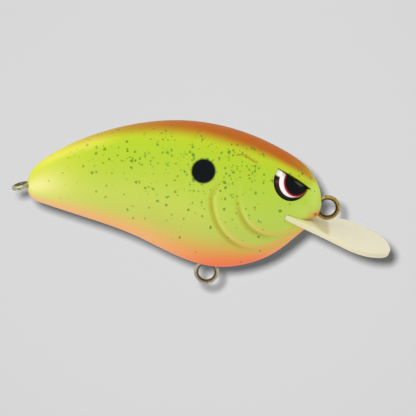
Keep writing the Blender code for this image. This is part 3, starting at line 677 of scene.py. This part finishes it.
def hanger(name, ring_diameter, reach, matrix, extra=0.0):
    """Bent wire eye, or with extra radius the groove that it lies in."""
    ring = (ring_diameter - WIRE_DIAMETER) / 2.0
    loop = (INNER_LOOP_DIAMETER - WIRE_DIAMETER) / 2.0
    upper = half_hanger(ring, loop, reach)
    lower = [(place[0], -place[1]) for place in reversed(upper[:-1])]
    curve = poly_curve(name, upper + lower, False)
    curve.dimensions = '3D'
    curve.bevel_depth = WIRE_DIAMETER / 2.0 + extra
    curve.bevel_resolution = WIRE_ROUNDNESS
    curve.use_fill_caps = True
    return curve_mesh(name, curve, matrix)


def lip_outline(grow):
    """Outline of the lip, along its length (x) and across (y), with its outward direction at each point."""
    line = natural_cubic(sorted((math.acos(along), share) for along, share in LIP_HALF_WIDTHS))
    rear = float(line(math.pi / 2.0)) * LIP_WIDTH / 2.0
    half = arc((LIP_CORNER, rear - LIP_CORNER), LIP_CORNER, math.pi, math.pi / 2.0, LIP_CORNER_STEPS)
    for turn in np.linspace(math.pi / 2.0, 0.0, LIP_STEPS)[:-1]:
        along = math.cos(turn) * LIP_LENGTH
        if along > LIP_CORNER:
            half.append((along, float(line(turn)) * LIP_WIDTH / 2.0))
    half.append((LIP_LENGTH, 0.0))
    loop = [Vector(place) for place in half + [(along, -across) for along, across in reversed(half[:-1])]]
    outline = []
    for before, place, after in zip(loop[-1:] + loop, loop, loop[1:] + loop[:1]):
        run = after - before
        out = Vector((-run.y, run.x)).normalized()
        outline.append((place + out * grow, out))
    return outline


def lip_plate(name, grow):
    """Lip with rounded edges, bowed along its length, or with some growth the slot that it sits in."""
    tall = LIP_THICKNESS / 2.0 + grow
    profile = []
    for turn in np.linspace(math.pi / 2.0, -math.pi / 2.0, LIP_EDGE_STEPS):
        level = math.copysign(tall - LIP_EDGE, turn) if abs(turn) > 0.01 else 0.0
        profile.append((LIP_EDGE * (math.cos(turn) - 1.0), level + LIP_EDGE * math.sin(turn)))
    verts = []
    for place, out in lip_outline(grow):
        for inset, height in profile:
            at = place + out * inset
            share = at.x / LIP_LENGTH
            verts.append((at.x, at.y, height - 4.0 * LIP_BOW * share * (1.0 - share)))
    width = len(profile)
    count = len(verts) // width
    faces = [[corner % len(verts) for corner in face] for face in grid_faces(count + 1, width, False)]
    tip = count // 2
    for level in (0, width - 1):
        for i in range(tip - 1):
            faces.append([k * width + level for k in (i, i + 1, count - i - 2, count - i - 1)])
        faces.append([k * width + level for k in (tip - 1, tip, tip + 1)])
    made = add_mesh(name, verts, faces)
    made.matrix_world = lip_frame
    return made


def mouth_wedge():
    """Wedge between the lip's middle and the flat underside of the nose."""
    front = NOSE_SETBACK
    fall = math.tan(LIP_SLOPE)
    corner = (MOUTH_DROP - LIP_DROP_AT_ORIGIN) / fall
    places = ((corner, -MOUTH_DROP), (front, -MOUTH_DROP), (front, -LIP_DROP_AT_ORIGIN - front * fall))
    verts = [(x, y, z) for y in (-BODY_WIDTH, BODY_WIDTH) for x, z in places]
    faces = [(0, 1, 2), (5, 4, 3), (0, 3, 4, 1), (1, 4, 5, 2), (2, 5, 3, 0)]
    return add_mesh("mouth", verts, faces)


def plate(name, outline, thickness, matrix, edge=0.0):
    """Flat plate with an outline, and with its edges rounded where edge is given."""
    curve = poly_curve(name, outline, True)
    curve.dimensions = '2D'
    curve.fill_mode = 'BOTH'
    curve.extrude = thickness / 2.0 - edge
    curve.bevel_depth = edge
    curve.bevel_resolution = PLATE_ROUNDNESS
    curve.offset = -edge
    return curve_mesh(name, curve, matrix)


def eye_outline(grow):
    """Round outline cut off by the brow."""
    radius = EYE_RADIUS + grow
    chord = math.asin((EYE_BROW_OFFSET + grow) / radius)
    return arc((0.0, 0.0), radius, math.pi - chord, 2.0 * math.pi + chord, EYE_STEPS)


def eye_frame(side):
    """Matrix of an eye: x along the brow, y up across it, z out of the flank."""
    station = x_station(EYE_X)
    angle = flank_angle(station, EYE_Z)
    centre = Vector(flank(station, angle, side))
    out = Vector(flank_normal(station, angle, side))
    brow = Vector((math.cos(EYE_BROW_SLOPE), 0.0, -math.sin(EYE_BROW_SLOPE)))
    along = (brow - out * brow.dot(out)).normalized()
    up = out.cross(along)
    if up.z < 0.0:
        up = -up
        along = -along
    return placed(along, up, out, centre)


def eye_dome(name, matrix, low):
    """Plano-convex dome over the eye's outline, with an eased edge and a flat back."""
    outline = np.array(eye_outline(0.0))
    around = len(outline)
    rings = np.linspace(0.0, 1.0, DOME_RINGS)[1:]
    curvature = (EYE_RADIUS ** 2 + EYE_DOME_RISE ** 2) / (2.0 * EYE_DOME_RISE)
    verts = [(0.0, 0.0, low + EYE_DOME_EDGE + EYE_DOME_RISE)]
    for ring in rings:
        for a, b in outline * ring:
            fall = curvature - math.sqrt(curvature ** 2 - a * a - b * b)
            round_side = min(max((EYE_BROW_OFFSET - b) / EYE_DOME_EASE_RUN, 0.0), 1.0)
            outer = max(ring - EYE_DOME_EASE_FROM, 0.0) / (1.0 - EYE_DOME_EASE_FROM)
            ease = EYE_DOME_EASE * round_side * outer ** 2
            verts.append((a, b, low + EYE_DOME_EDGE + EYE_DOME_RISE - fall - ease))
    base = len(verts)
    verts += [(a, b, low) for a, b in outline]
    faces = [[corner + 1 for corner in face] for face in grid_faces(len(rings) + 1, around, True)]
    for j in range(around):
        faces.append((0, 1 + j, 1 + (j + 1) % around))
    faces.append([base + j for j in reversed(range(around))])
    made = add_mesh(name, verts, faces)
    made.matrix_world = matrix
    return made


class Nodes:
    """Shorthand for building the node tree of a world, or of a new material with a given name."""

    def __init__(self, owner):
        if isinstance(owner, str):
            owner = bpy.data.materials.new(owner)
        owner.use_nodes = True
        self.material = owner
        self.tree = owner.node_tree
        self.shader = self.tree.nodes.get("Principled BSDF") or self.tree.nodes["Background"]

    def add(self, kind, **settings):
        node = self.tree.nodes.new(kind)
        for key, value in settings.items():
            setattr(node, key, value)
        return node

    def link(self, source, target):
        self.tree.links.new(source, target)

    def put(self, socket, value):
        if isinstance(value, bpy.types.NodeSocket):
            self.link(value, socket)
        else:
            socket.default_value = value

    def fill(self, node, **values):
        """Sets or links a node's inputs, named with _ for spaces."""
        for key, value in values.items():
            self.put(node.inputs[key.replace("_", " ")], value)
        return node

    def math(self, operation, first, second=0.0, third=0.0):
        node = self.add("ShaderNodeMath", operation=operation)
        for socket, value in zip(node.inputs, (first, second, third)):
            self.put(socket, value)
        return node.outputs[0]

    def times(self, first, second):
        return self.math('MULTIPLY', first, second)

    def span(self, value, low, high, out_low=0.0, out_high=1.0):
        """Eased step of a value, from out_low at low to out_high at high."""
        node = self.add("ShaderNodeMapRange", interpolation_type='SMOOTHSTEP')
        self.fill(node, Value=value, From_Min=low, From_Max=high, To_Min=out_low, To_Max=out_high)
        return node.outputs["Result"]

    def mix(self, factor, first, second):
        """Mix of two colours, each a socket, a linear colour or a screen colour of three values."""
        node = self.add("ShaderNodeMix", data_type='RGBA')
        self.put(node.inputs[0], factor)
        for socket, colour in ((node.inputs[6], first), (node.inputs[7], second)):
            if isinstance(colour, tuple) and len(colour) == 3:
                colour = linear(*colour)
            self.put(socket, colour)
        return node.outputs[2]

    def mask(self, name):
        return self.add("ShaderNodeAttribute", attribute_name=name).outputs["Fac"]

    def place(self):
        """Object coordinates as x, y and z sockets, and as one vector."""
        vector = self.add("ShaderNodeTexCoord").outputs["Object"]
        return *self.split(vector), vector

    def split(self, vector):
        node = self.add("ShaderNodeSeparateXYZ")
        self.link(vector, node.inputs[0])
        return tuple(node.outputs)

    def noise(self, vector, scale, detail=3.0, roughness=0.5):
        node = self.add("ShaderNodeTexNoise")
        self.fill(node, Vector=vector, Scale=scale, Detail=detail, Roughness=roughness)
        return node.outputs["Fac"]

    def bump(self, height, strength, distance):
        node = self.fill(self.add("ShaderNodeBump"), Strength=strength, Distance=distance, Height=height)
        self.link(node.outputs["Normal"], self.shader.inputs["Normal"])

    def distance(self, x, z, centre):
        """Distance from a centre, over two coordinates."""
        across = self.math('SUBTRACT', x, centre[0])
        up = self.math('SUBTRACT', z, centre[1])
        squares = self.math('ADD', self.math('POWER', across, 2.0), self.math('POWER', up, 2.0))
        return self.math('SQRT', squares)

    def finish(self, colour, **values):
        """Fills the shader's inputs and gives the material."""
        self.fill(self.shader, Base_Color=colour, **values)
        return self.material


def flank_masks(station, height):
    """Airbrush masks by station along the body and height up its flank."""
    edge = read_line(BACK_EDGE, station)
    cover = read_line(BACK_COVER, station)
    belly = 1.0 - smooth(height, BELLY_START, read_line(BELLY_REACH, station))
    jaw = smooth(station, *JAW_STATIONS) * (1.0 - smooth(height, *JAW_HEIGHTS))
    # Painted highlight: a pale patch on the tail
    highlight_run = np.maximum((station - TAIL_HIGHLIGHT_PLACE[0]) / TAIL_HIGHLIGHT_REACH[0], TAIL_HIGHLIGHT_BEHIND)
    highlight_rise = (height - TAIL_HIGHLIGHT_PLACE[1]) / TAIL_HIGHLIGHT_REACH[1]
    return {
        "back": cover * smooth(height - edge, *BACK_BLUR),
        "fringe": cover * smooth(height - edge, *FRINGE_BLUR),
        # Painted highlight: a pale streak under the back, toward the tail
        "back_highlight": band(station, *BACK_HIGHLIGHT_STATIONS) * smooth(height, *BACK_HIGHLIGHT_HEIGHTS),
        "belly": belly * read_line(BELLY_COVER, station),
        "haze": band(height, *HAZE_HEIGHTS) * read_line(HAZE_COVER, station),
        "hot": smooth(station, *HOT_STATIONS) * (1.0 - HOT_FADE * smooth(station, *HOT_FADE_STATIONS)),
        "lower": 1.0 - smooth(height, *LOWER_HEIGHTS),
        "head": smooth(station, *HEAD_STATIONS),
        "tail": 1.0 - smooth(station, *TAIL_STATIONS),
        # Painted highlight on the tail
        "tail_highlight": np.exp(-highlight_run ** 2 - highlight_rise ** 2),
        # Painted light: paler over the nose tip and the jaw above the lip
        "nose": np.maximum(smooth(station, *NOSE_STATIONS), jaw),
        "speck": read_line(FLECKS_ALONG, station) * read_line(FLECKS_UP, height),
    }


def gill_masks(x, z):
    """Masks of the painted shade outside the gill covers, the painted highlight on their edges and the warm
    throat below.
    """
    masks = {}
    for gill, first, last, fade in GILL_PAINT:
        out, angle = gill_place(x, z, gill)
        strength = gill_strength(angle, first, last)
        edge = band(out, *CREST_BAND)
        # Painted shade in the groove and a painted highlight along the edge
        layers = {
            "groove": strength * band(out, GROOVE_RISE, (GROOVE_HOLD, fade)),
            "crest_highlight": strength * edge,
            "throat": gill_strength(angle, *THROAT_ARC) * edge,
        }
        for name, layer in layers.items():
            masks[name] = np.maximum(masks.get(name, 0.0), layer)
    return masks


def face_masks(x, z):
    """Masks round the eye, along the head line and about the mouth."""
    along, above = brow_place(x, z)
    near_eye = 1.0 - smooth(np.abs(along), *BROW_ENDS)
    near_mouth = 1.0 - smooth(np.abs(z + MOUTH_DROP), *MOUTH_BLUR)
    from_spot = np.hypot(x - SPOT_PLACE[0], z - SPOT_PLACE[1])
    return {
        # Painted light on the raised brow, above its edge
        "brow": near_eye * band(above, *BROW_LIGHT_BAND),
        # Run of the painted shade under the brow
        "crease": band(along, *CREASE_BAND),
        "line": 1.0 - smooth(line_distance(x, z, HEAD_LINE), *HEAD_LINE_BLUR),
        "mouth": near_mouth * band(x, *MOUTH_BAND),
        "chin": CHIN_STRENGTH * smooth(x, *CHIN_RUN) * (1.0 - smooth(z, *CHIN_HEIGHTS)),
        "spot": 1.0 - smooth(from_spot, *SPOT_BLUR),
    }


def paint_masks(target):
    """Airbrush masks on a shell's points, with the bare inside of its hollow."""
    flat = np.zeros(len(target.data.vertices) * 3)
    target.data.vertices.foreach_get("co", flat)
    x, y, z = flat.reshape(-1, 3).T
    station = np.clip(x_station(x), 0.0, 1.0)
    top, bottom, half_width = section(station)
    tall = np.maximum(top - bottom, LEAST)
    height = np.clip((z - bottom) / tall, 0.0, 1.0)
    up = np.abs(2.0 * z - top - bottom) / tall
    across = np.abs(y) / np.maximum(half_width, LEAST)
    share = (up ** SECTION_FULLNESS + across ** SECTION_FULLNESS) ** (1.0 / SECTION_FULLNESS)
    masks = {"bare": band(station, *HOLLOW_STATIONS) * (1.0 - smooth(share, *WALL_SHARES))}
    for found in (flank_masks(station, height), gill_masks(x, z), face_masks(x, z)):
        masks.update(found)
    for name, values in masks.items():
        attribute = target.data.attributes.new(name, 'FLOAT', 'POINT')
        attribute.data.foreach_set("value", np.asarray(values, np.float32))


def spray(n, colour, coats):
    for name, strength, tone in coats:
        colour = n.mix(n.times(n.mask(name), strength), colour, tone)
    return colour


def flecks(n, vector, colour):
    """Scattered ragged dabs of green paint over a colour."""
    clump = n.span(n.noise(vector, CLUMP_NOISE, 2.0), 0.38, 0.62, 0.25, 1.3)
    chance = n.times(n.mask("speck"), clump)
    ragged = n.fill(n.add("ShaderNodeTexNoise"), Vector=vector, Scale=RAGGED_NOISE)
    shift = n.add("ShaderNodeVectorMath", operation='MULTIPLY_ADD')
    n.link(ragged.outputs["Color"], shift.inputs[0])
    shift.inputs[1].default_value = [FLECK_WANDER] * 3
    n.link(vector, shift.inputs[2])
    for scale, odds, least, largest, cover in FLECK_KINDS:
        cells = n.fill(n.add("ShaderNodeTexVoronoi"), Vector=shift.outputs[0], Scale=scale)
        pick = n.add("ShaderNodeSeparateColor")
        n.link(cells.outputs["Color"], pick.inputs[0])
        chosen = n.math('GREATER_THAN', n.times(chance, odds), pick.outputs[0])
        size = n.math('MULTIPLY_ADD', pick.outputs[1], largest - least, least)
        close = n.math('SUBTRACT', size, cells.outputs["Distance"])
        dab = n.times(chosen, n.span(close, 0.0, FLECK_SOFTNESS))
        strength = n.span(n.mask("tail"), 0.0, 0.3, cover, FLECK_TAIL_COVER * cover)
        tone = n.mix(n.span(pick.outputs[2], 0.25, 0.75), *FLECK_TONES)
        colour = n.mix(n.times(dab, strength), colour, tone)
    return colour


def brow_shade(n, x, y, z):
    """Painted shade: a dark line under the brow, where the socket meets it."""
    brow_up = eye_frame(LEFT).col[1]
    brow_edge = eye_frame(LEFT) @ Vector((0.0, EYE_BROW_OFFSET, 0.0))
    lift = n.math('ADD', n.times(x, brow_up.x), n.times(z, brow_up.z))
    lift = n.math('ADD', lift, n.times(n.math('ABSOLUTE', y), brow_up.y))
    lift = n.math('SUBTRACT', lift, brow_edge.dot(brow_up.to_3d()))
    under = n.times(n.span(lift, *CREASE_RISE), n.span(lift, *CREASE_FALL, 1.0, 0.0))
    return n.times(under, n.mask("crease"))


def shell_paint(name):
    """Airbrushed chartreuse with brown back, orange belly, green specks and a dark shoulder dot, with painted
    highlights and shade.
    """
    n = Nodes(name)
    x, y, z, vector = n.place()
    low = n.mix(n.mask("head"), *LOWER_FLANK_TONES)
    colour = n.mix(n.mask("lower"), UPPER_FLANK, low)
    colour = n.mix(n.mask("tail"), colour, n.mix(n.mask("lower"), *TAIL_TONES))
    colour = spray(n, colour, FLANK_COATS)
    belly = spray(n, n.mix(n.mask("hot"), *BELLY_TONES), BELLY_COATS)
    colour = n.mix(n.mask("belly"), colour, belly)
    colour = spray(n, colour, GILL_COATS)
    smear = n.span(n.noise(vector, SMEAR_NOISE, 2.0), 0.35, 0.6, 0.35, 1.0)
    colour = n.mix(n.times(n.mask("chin"), smear), colour, CHIN_TONE)
    colour = spray(n, colour, FACE_COATS)
    colour = flecks(n, vector, colour)
    # Painted shade under the brow
    colour = n.mix(brow_shade(n, x, y, z), colour, BROW_SHADE_TONE)
    from_dot = n.distance(x, z, DOT_CENTRE)
    dot = n.span(from_dot, DOT_RADIUS - DOT_SOFTNESS, DOT_RADIUS + DOT_SOFTNESS, 1.0, 0.0)
    colour = n.mix(dot, colour, DOT_TONE)
    colour = n.mix(n.mask("bare"), colour, INSIDE_TONE)
    grain = n.noise(vector, GRAIN_NOISE, 2.0)
    n.bump(grain, 0.12, GRAIN_HEIGHT)
    rough = n.span(grain, 0.3, 0.7, 0.4, 0.5)
    return n.finish(colour, Roughness=rough, Coat_Weight=0.02, Coat_Roughness=0.2, Specular_IOR_Level=0.06)


def lip_plastic():
    """Milky plastic with painted shade at its rounded edge, paint drift, and the nose's painted shadow where
    it leaves the body.
    """
    n = Nodes("lip_plastic")
    x, y, _, vector = n.place()
    wide = n.math('ABSOLUTE', y)
    cloud = n.noise(vector, CLOUD_NOISE)
    colour = n.mix(n.span(cloud, 0.3, 0.7), *LIP_TONES)
    facing = n.math('ABSOLUTE', n.split(n.add("ShaderNodeTexCoord").outputs["Normal"])[2])
    edge = n.span(facing, 0.5, 0.97, 1.0, 0.0)
    drift = n.times(n.span(x, *DRIFT_RUN, 1.0, 0.0), n.span(edge, 0.2, 0.9, 0.75, 0.25))
    colour = n.mix(drift, colour, DRIFT_TONE)
    # Painted shadow of the nose on the lip's top, warmed by the body's colour
    bow = n.times(n.math('POWER', n.math('DIVIDE', wide, NOSE_SHADOW_HALF_WIDTH), 2.0), NOSE_SHADOW_TO_BOW)
    far = n.math('ADD', bow, NOSE_SHADOW_TO)
    near = n.math('MULTIPLY_ADD', wide, NOSE_SHADOW_FROM_SLANT, NOSE_SHADOW_FROM)
    inside = n.span(n.math('SUBTRACT', x, near), *NOSE_SHADOW_FROM_BLUR)
    before = n.span(n.math('SUBTRACT', x, far), *NOSE_SHADOW_TO_BLUR, 1.0, 0.0)
    nose_shadow = n.times(n.times(inside, before), n.span(edge, 0.1, 0.6, NOSE_SHADOW_COVER, 0.0))
    warm = n.mix(n.span(x, *NOSE_SHADOW_TURNS[0]), *NOSE_SHADOW_TONES[:2])
    warm = n.mix(n.span(x, *NOSE_SHADOW_TURNS[1]), warm, NOSE_SHADOW_TONES[2])
    colour = n.mix(nose_shadow, colour, warm)
    # Painted shade: the rounded edge, found by which way the surface faces, a little darker than the top
    colour = n.mix(n.times(edge, LIP_EDGE_SHADE_COVER), colour, LIP_EDGE_SHADE_TONE)
    n.bump(n.noise(vector, RIPPLE_NOISE, 2.0), 0.03, GRAIN_HEIGHT)
    rough = n.span(cloud, 0.3, 0.7, 0.28, 0.36)
    return n.finish(colour, Roughness=rough, Specular_IOR_Level=0.25, Subsurface_Weight=0.2,
                    Subsurface_Radius=(1.0, 0.9, 0.6), Subsurface_Scale=0.6 * MM)


def wire_metal(name, radius, bright, dark):
    """Bronze-toned wire with drawn streaks and tarnish patches, and a painted dark reflection on the inside
    of its eye.
    """
    n = Nodes(name)
    x, y, _, vector = n.place()
    tarnish = n.noise(vector, TARNISH_NOISE, 4.0, 0.6)
    # Painted dark reflection on the inside of the eye
    from_middle = n.distance(x, y, (0.0, 0.0))
    inner = n.span(from_middle, radius + DARK_REFLECTION_EDGE[0], radius + DARK_REFLECTION_EDGE[1], 1.0, 0.0)
    patches = n.span(tarnish, 0.46, 0.66, 0.0, 0.75)
    colour = n.mix(n.math('MAXIMUM', inner, patches), bright, dark)
    n.bump(n.noise(vector, STREAK_NOISE, 2.0), 0.12, GRAIN_HEIGHT)
    return n.finish(colour, Metallic=1.0, Roughness=n.span(tarnish, 0.3, 0.7, 0.25, 0.42))


def eye_print(name, mirror):
    """Printed eye: dark rim, white crescent, thin red ring and black pupil set toward the brow, with painted
    highlight, shade and reflection.
    """
    n = Nodes(name)
    a, b, _, vector = n.place()
    ahead = n.times(a, mirror)

    def mark(centre, edge, cover):
        return n.span(n.distance(ahead, b, centre), *edge, cover, 0.0)

    # Painted shade under the brow, greying the white at the eye's rear
    colour = n.mix(mark(*UNDER_BROW_SHADE), *WHITE_TONES)
    # Painted highlight: the rim stays open at the top rear corner
    highlight_corner = n.times(n.span(b, *RIM_HIGHLIGHT_ABOVE), n.span(ahead, *RIM_HIGHLIGHT_BEHIND, 1.0, 0.0))
    rim = n.span(n.distance(ahead, b, RIM_CENTRE), *RIM_EDGE)
    rim = n.times(rim, n.math('SUBTRACT', 1.0, highlight_corner))
    brown = n.mix(n.span(n.noise(vector, PRINT_NOISE), 0.4, 0.6), *RIM_TONES)
    colour = n.mix(rim, colour, n.mix(mark(*ROSE), brown, ROSE_TONE))
    colour = n.mix(mark(*PINK), colour, PINK_TONE)
    colour = n.mix(mark(*RING), colour, RING_TONE)
    # Painted reflection: a soft grey gleam on the pupil
    gleam_run = n.times(n.math('SUBTRACT', ahead, GLEAM_AHEAD), GLEAM_SQUEEZE)
    from_gleam = n.distance(gleam_run, b, (0.0, GLEAM_UP))
    gleam = n.span(from_gleam, *GLEAM_EDGE, GLEAM_COVER, 0.0)
    colour = n.mix(mark(*PUPIL), colour, n.mix(gleam, *PUPIL_TONES))
    return n.finish(colour, Roughness=0.3, Specular_IOR_Level=0.06, Coat_Weight=0.1, Coat_Roughness=0.06)


def steel():
    """Bare steel with a little wear."""
    n = Nodes("ball_steel")
    wear = n.noise(n.place()[3], WEAR_NOISE, 4.0)
    rough = n.span(wear, 0.3, 0.7, 0.15, 0.35)
    return n.finish(n.mix(wear, *BALL_TONES), Metallic=1.0, Roughness=rough)


def wear_material(target, material):
    target.data.materials.clear()
    target.data.materials.append(material)


def grey(tone):
    return (tone, tone, tone, 1.0)


def ray_shows_stage(n):
    """1 for rays that show the stage itself, directly, mirrored or through glass, and 0 for its light."""
    path = n.add("ShaderNodeLightPath").outputs
    shows = n.math('MAXIMUM', path["Is Camera Ray"], path["Is Glossy Ray"])
    return n.math('MAXIMUM', shows, path["Is Transmission Ray"])


def stage_plane(name, size, matrix, tone, seen_tone, one_sided):
    """Square of the stage, with one tone for its light and one for how it is seen."""
    half = size / 2.0
    verts = [(-half, -half, 0.0), (half, -half, 0.0), (half, half, 0.0), (-half, half, 0.0)]
    mesh = bpy.data.meshes.new(name)
    mesh.from_pydata(verts, [], [(0, 1, 2, 3)])
    made = add_object(name, mesh)
    made.matrix_world = matrix
    n = Nodes(name + "_card")
    colour = n.mix(ray_shows_stage(n), grey(tone), grey(seen_tone))
    made.data.materials.append(n.finish(colour, Roughness=1.0, Specular_IOR_Level=0.0))
    if one_sided:
        both = n.add("ShaderNodeMixShader")
        n.link(n.add("ShaderNodeNewGeometry").outputs["Backfacing"], both.inputs[0])
        n.link(n.shader.outputs[0], both.inputs[1])
        n.link(n.add("ShaderNodeBsdfTransparent").outputs[0], both.inputs[2])
        n.link(both.outputs[0], n.tree.nodes["Material Output"].inputs["Surface"])
    return made


def lamp(name, kind, energy):
    made = add_object(name, bpy.data.lights.new(name, kind))
    made.data.energy = energy
    return made


# Places that several pieces share
sideways = Vector((0.0, 1.0, 0.0))
tie_axis = Vector((math.cos(LINE_TIE_TILT), 0.0, -math.sin(LINE_TIE_TILT)))
tie_frame = placed(tie_axis, (-tie_axis.z, 0.0, tie_axis.x), (0.0, -1.0, 0.0), (0.0, 0.0, 0.0))
belly_z = float(section(x_station(BELLY_HANGER_X))[1]) - BELLY_HANGER_DROP
belly_frame = placed((0.0, 0.0, -1.0), (1.0, 0.0, 0.0), (0.0, -1.0, 0.0), (BELLY_HANGER_X, 0.0, belly_z))
tail_axis = Vector((-math.cos(TAIL_HANGER_TILT), 0.0, -math.sin(TAIL_HANGER_TILT)))
tail_place = Vector((station_x(0.0) - TAIL_HANGER_OVERHANG, 0.0, TAIL_HEIGHT + TAIL_HANGER_LIFT))
tail_frame = placed(tail_axis, sideways, tail_axis.cross(sideways), tail_place)
lip_rear = Vector((-LIP_REAR_SETBACK, 0.0, LIP_REAR_SETBACK * math.tan(LIP_SLOPE) - LIP_DROP_AT_ORIGIN))
lip_axis = Vector((math.cos(LIP_SLOPE), 0.0, -math.sin(LIP_SLOPE)))
lip_frame = placed(lip_axis, sideways, lip_axis.cross(sideways), lip_rear)
HANGERS = [("line_tie", EYE_RING_DIAMETER, LINE_TIE_REACH, tie_frame),
           ("belly_hanger", EYE_RING_DIAMETER, BELLY_HANGER_REACH, belly_frame),
           ("tail_hanger", TAIL_RING_DIAMETER, TAIL_HANGER_REACH, tail_frame)]

# Shells
tools = [hollow()]
for name, ring, reach, matrix in HANGERS:
    tools.append(hanger(name + "_groove", ring, reach, matrix, WIRE_CLEARANCE))
tools += [lip_plate("lip_slot", LIP_CLEARANCE), mouth_wedge()]
paint = shell_paint("shell_paint")
for tag, side in SIDES:
    skin = half_body(tag + "_painted_shell", side)
    socket_at = eye_frame(side) @ Matrix.Translation((0.0, 0.0, EYE_SOCKET_DEPTH))
    socket = plate(tag + "_socket", eye_outline(EYE_CLEARANCE), 4.0 * EYE_SOCKET_DEPTH, socket_at)
    cut(skin, tools + [socket])
    bpy.data.objects.remove(socket)
    paint_masks(skin)
    smooth_shade(skin, SHELL_CREASE)
    wear_material(skin, paint)
    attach(skin, BODY)
    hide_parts(tag + "_body_shell")
for tool in tools:
    bpy.data.objects.remove(tool)

# Lip
lip = lip_plate("milky_lip", 0.0)
smooth_shade(lip, LIP_CREASE)
wear_material(lip, lip_plastic())
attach(lip, BODY)
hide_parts("diving_lip")

# Wire eyes
for name, ring, reach, matrix in HANGERS:
    wire = hanger(name + "_wire", ring, reach, matrix)
    smooth_shade(wire, SMALL_CREASE)
    wear_material(wire, wire_metal(name + "_metal", (ring - WIRE_DIAMETER) / 2.0, *WIRE_TONES[name]))
    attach(wire, BODY)
    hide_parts(name)

# Eyes: the print shows on the dome, as if through clear resin, and on the disc behind it
for tag, side in SIDES:
    matrix = eye_frame(side)
    low = EYE_CLEARANCE - EYE_SOCKET_DEPTH
    print_look = eye_print(tag + "_eye_print", 1.0 if side == RIGHT else -1.0)
    disc_at = matrix @ Matrix.Translation((0.0, 0.0, low + EYE_DISC_THICKNESS / 2.0))
    disc = plate(tag + "_eye_backing", eye_outline(0.0), EYE_DISC_THICKNESS, disc_at, EYE_DISC_EDGE)
    dome = eye_dome(tag + "_eye_lens", matrix, low + EYE_DISC_THICKNESS + EYE_CLEARANCE)
    for piece, node, slot_name in ((disc, "_eye_disc", "eye_print"), (dome, "_eye_dome", "eye_resin")):
        smooth_shade(piece, SMALL_CREASE)
        wear_material(piece, print_look)
        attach(piece, BODY)
        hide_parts(tag + node)

# Steel balls inside
ball_look = steel()
for name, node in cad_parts.items():
    if "_ball" in name:
        wear_material(node, ball_look)
        node.data.shade_smooth()
        node.modifiers.new("joined", 'WELD').merge_threshold = MERGE
        rounder = node.modifiers.new("rounder", 'SUBSURF')
        rounder.levels = 1
        rounder.render_levels = 1

# Camera
view_back = Vector((0.0, -math.cos(VIEW_ELEVATION), math.sin(VIEW_ELEVATION)))
target = Vector((VIEW_X, 0.0, VIEW_HEIGHT / math.cos(VIEW_ELEVATION)))
camera = add_object("camera", bpy.data.cameras.new("camera"))
camera.data.lens = LENS
camera.data.sensor_width = SENSOR
camera.data.clip_start = CLIP_START
camera.data.clip_end = CLIP_END
camera.location = target + view_back * FRAME_PIXELS * PIXEL * LENS / SENSOR
camera.rotation_euler = (math.pi / 2.0 - VIEW_ELEVATION, 0.0, 0.0)
bpy.context.scene.camera = camera

# Stage
panel_up = Vector((0.0, math.sin(VIEW_ELEVATION), math.cos(VIEW_ELEVATION)))
view_right = Vector((1.0, 0.0, 0.0))
panel_at = placed(view_right, panel_up, view_back, target - view_back * PANEL_DEPTH)
panel = stage_plane("backdrop", PANEL_SIZE, panel_at, PANEL_TONE, PANEL_TONE, True)
floor_at = Matrix.Translation((0.0, 0.0, FLOOR_HEIGHT))
stage_plane("floor", FLOOR_SIZE, floor_at, FLOOR_TONE, FLOOR_SEEN_TONE, False)

# Light: an even white room, a soft key from the upper left, and a lamp that only the backdrop sees
world = bpy.data.worlds.new("studio")
bpy.context.scene.world = world
room = Nodes(world)
strength = room.math('MULTIPLY_ADD', ray_shows_stage(room), ROOM_SEEN - ROOM_LIGHT, ROOM_LIGHT)
room.fill(room.shader, Color=grey(1.0), Strength=strength)
key = lamp("key", 'SUN', KEY_LIGHT * math.pi)
key.data.angle = KEY_SPREAD
key_way = -view_back + view_right * KEY_SIDE - panel_up * KEY_FALL
key.rotation_euler = key_way.to_track_quat('-Z', 'Y').to_euler()
shadow_reach = (camera.location - target).length + PANEL_DEPTH
shadow_lamp = lamp("backdrop_key", 'POINT', PANEL_LIGHT * math.pi * 4.0 * math.pi * shadow_reach ** 2)
shadow_lamp.data.shadow_soft_size = SHADOW_LAMP_RADIUS
shadow_lamp.location = camera.location - view_right * SHADOW_SHIFT[0] + panel_up * SHADOW_SHIFT[1]
lit_by_it = bpy.data.collections.new("backdrop_only")
lit_by_it.objects.link(panel)
shadow_lamp.light_linking.receiver_collection = lit_by_it

bpy.context.scene.view_settings.view_transform = 'Standard'
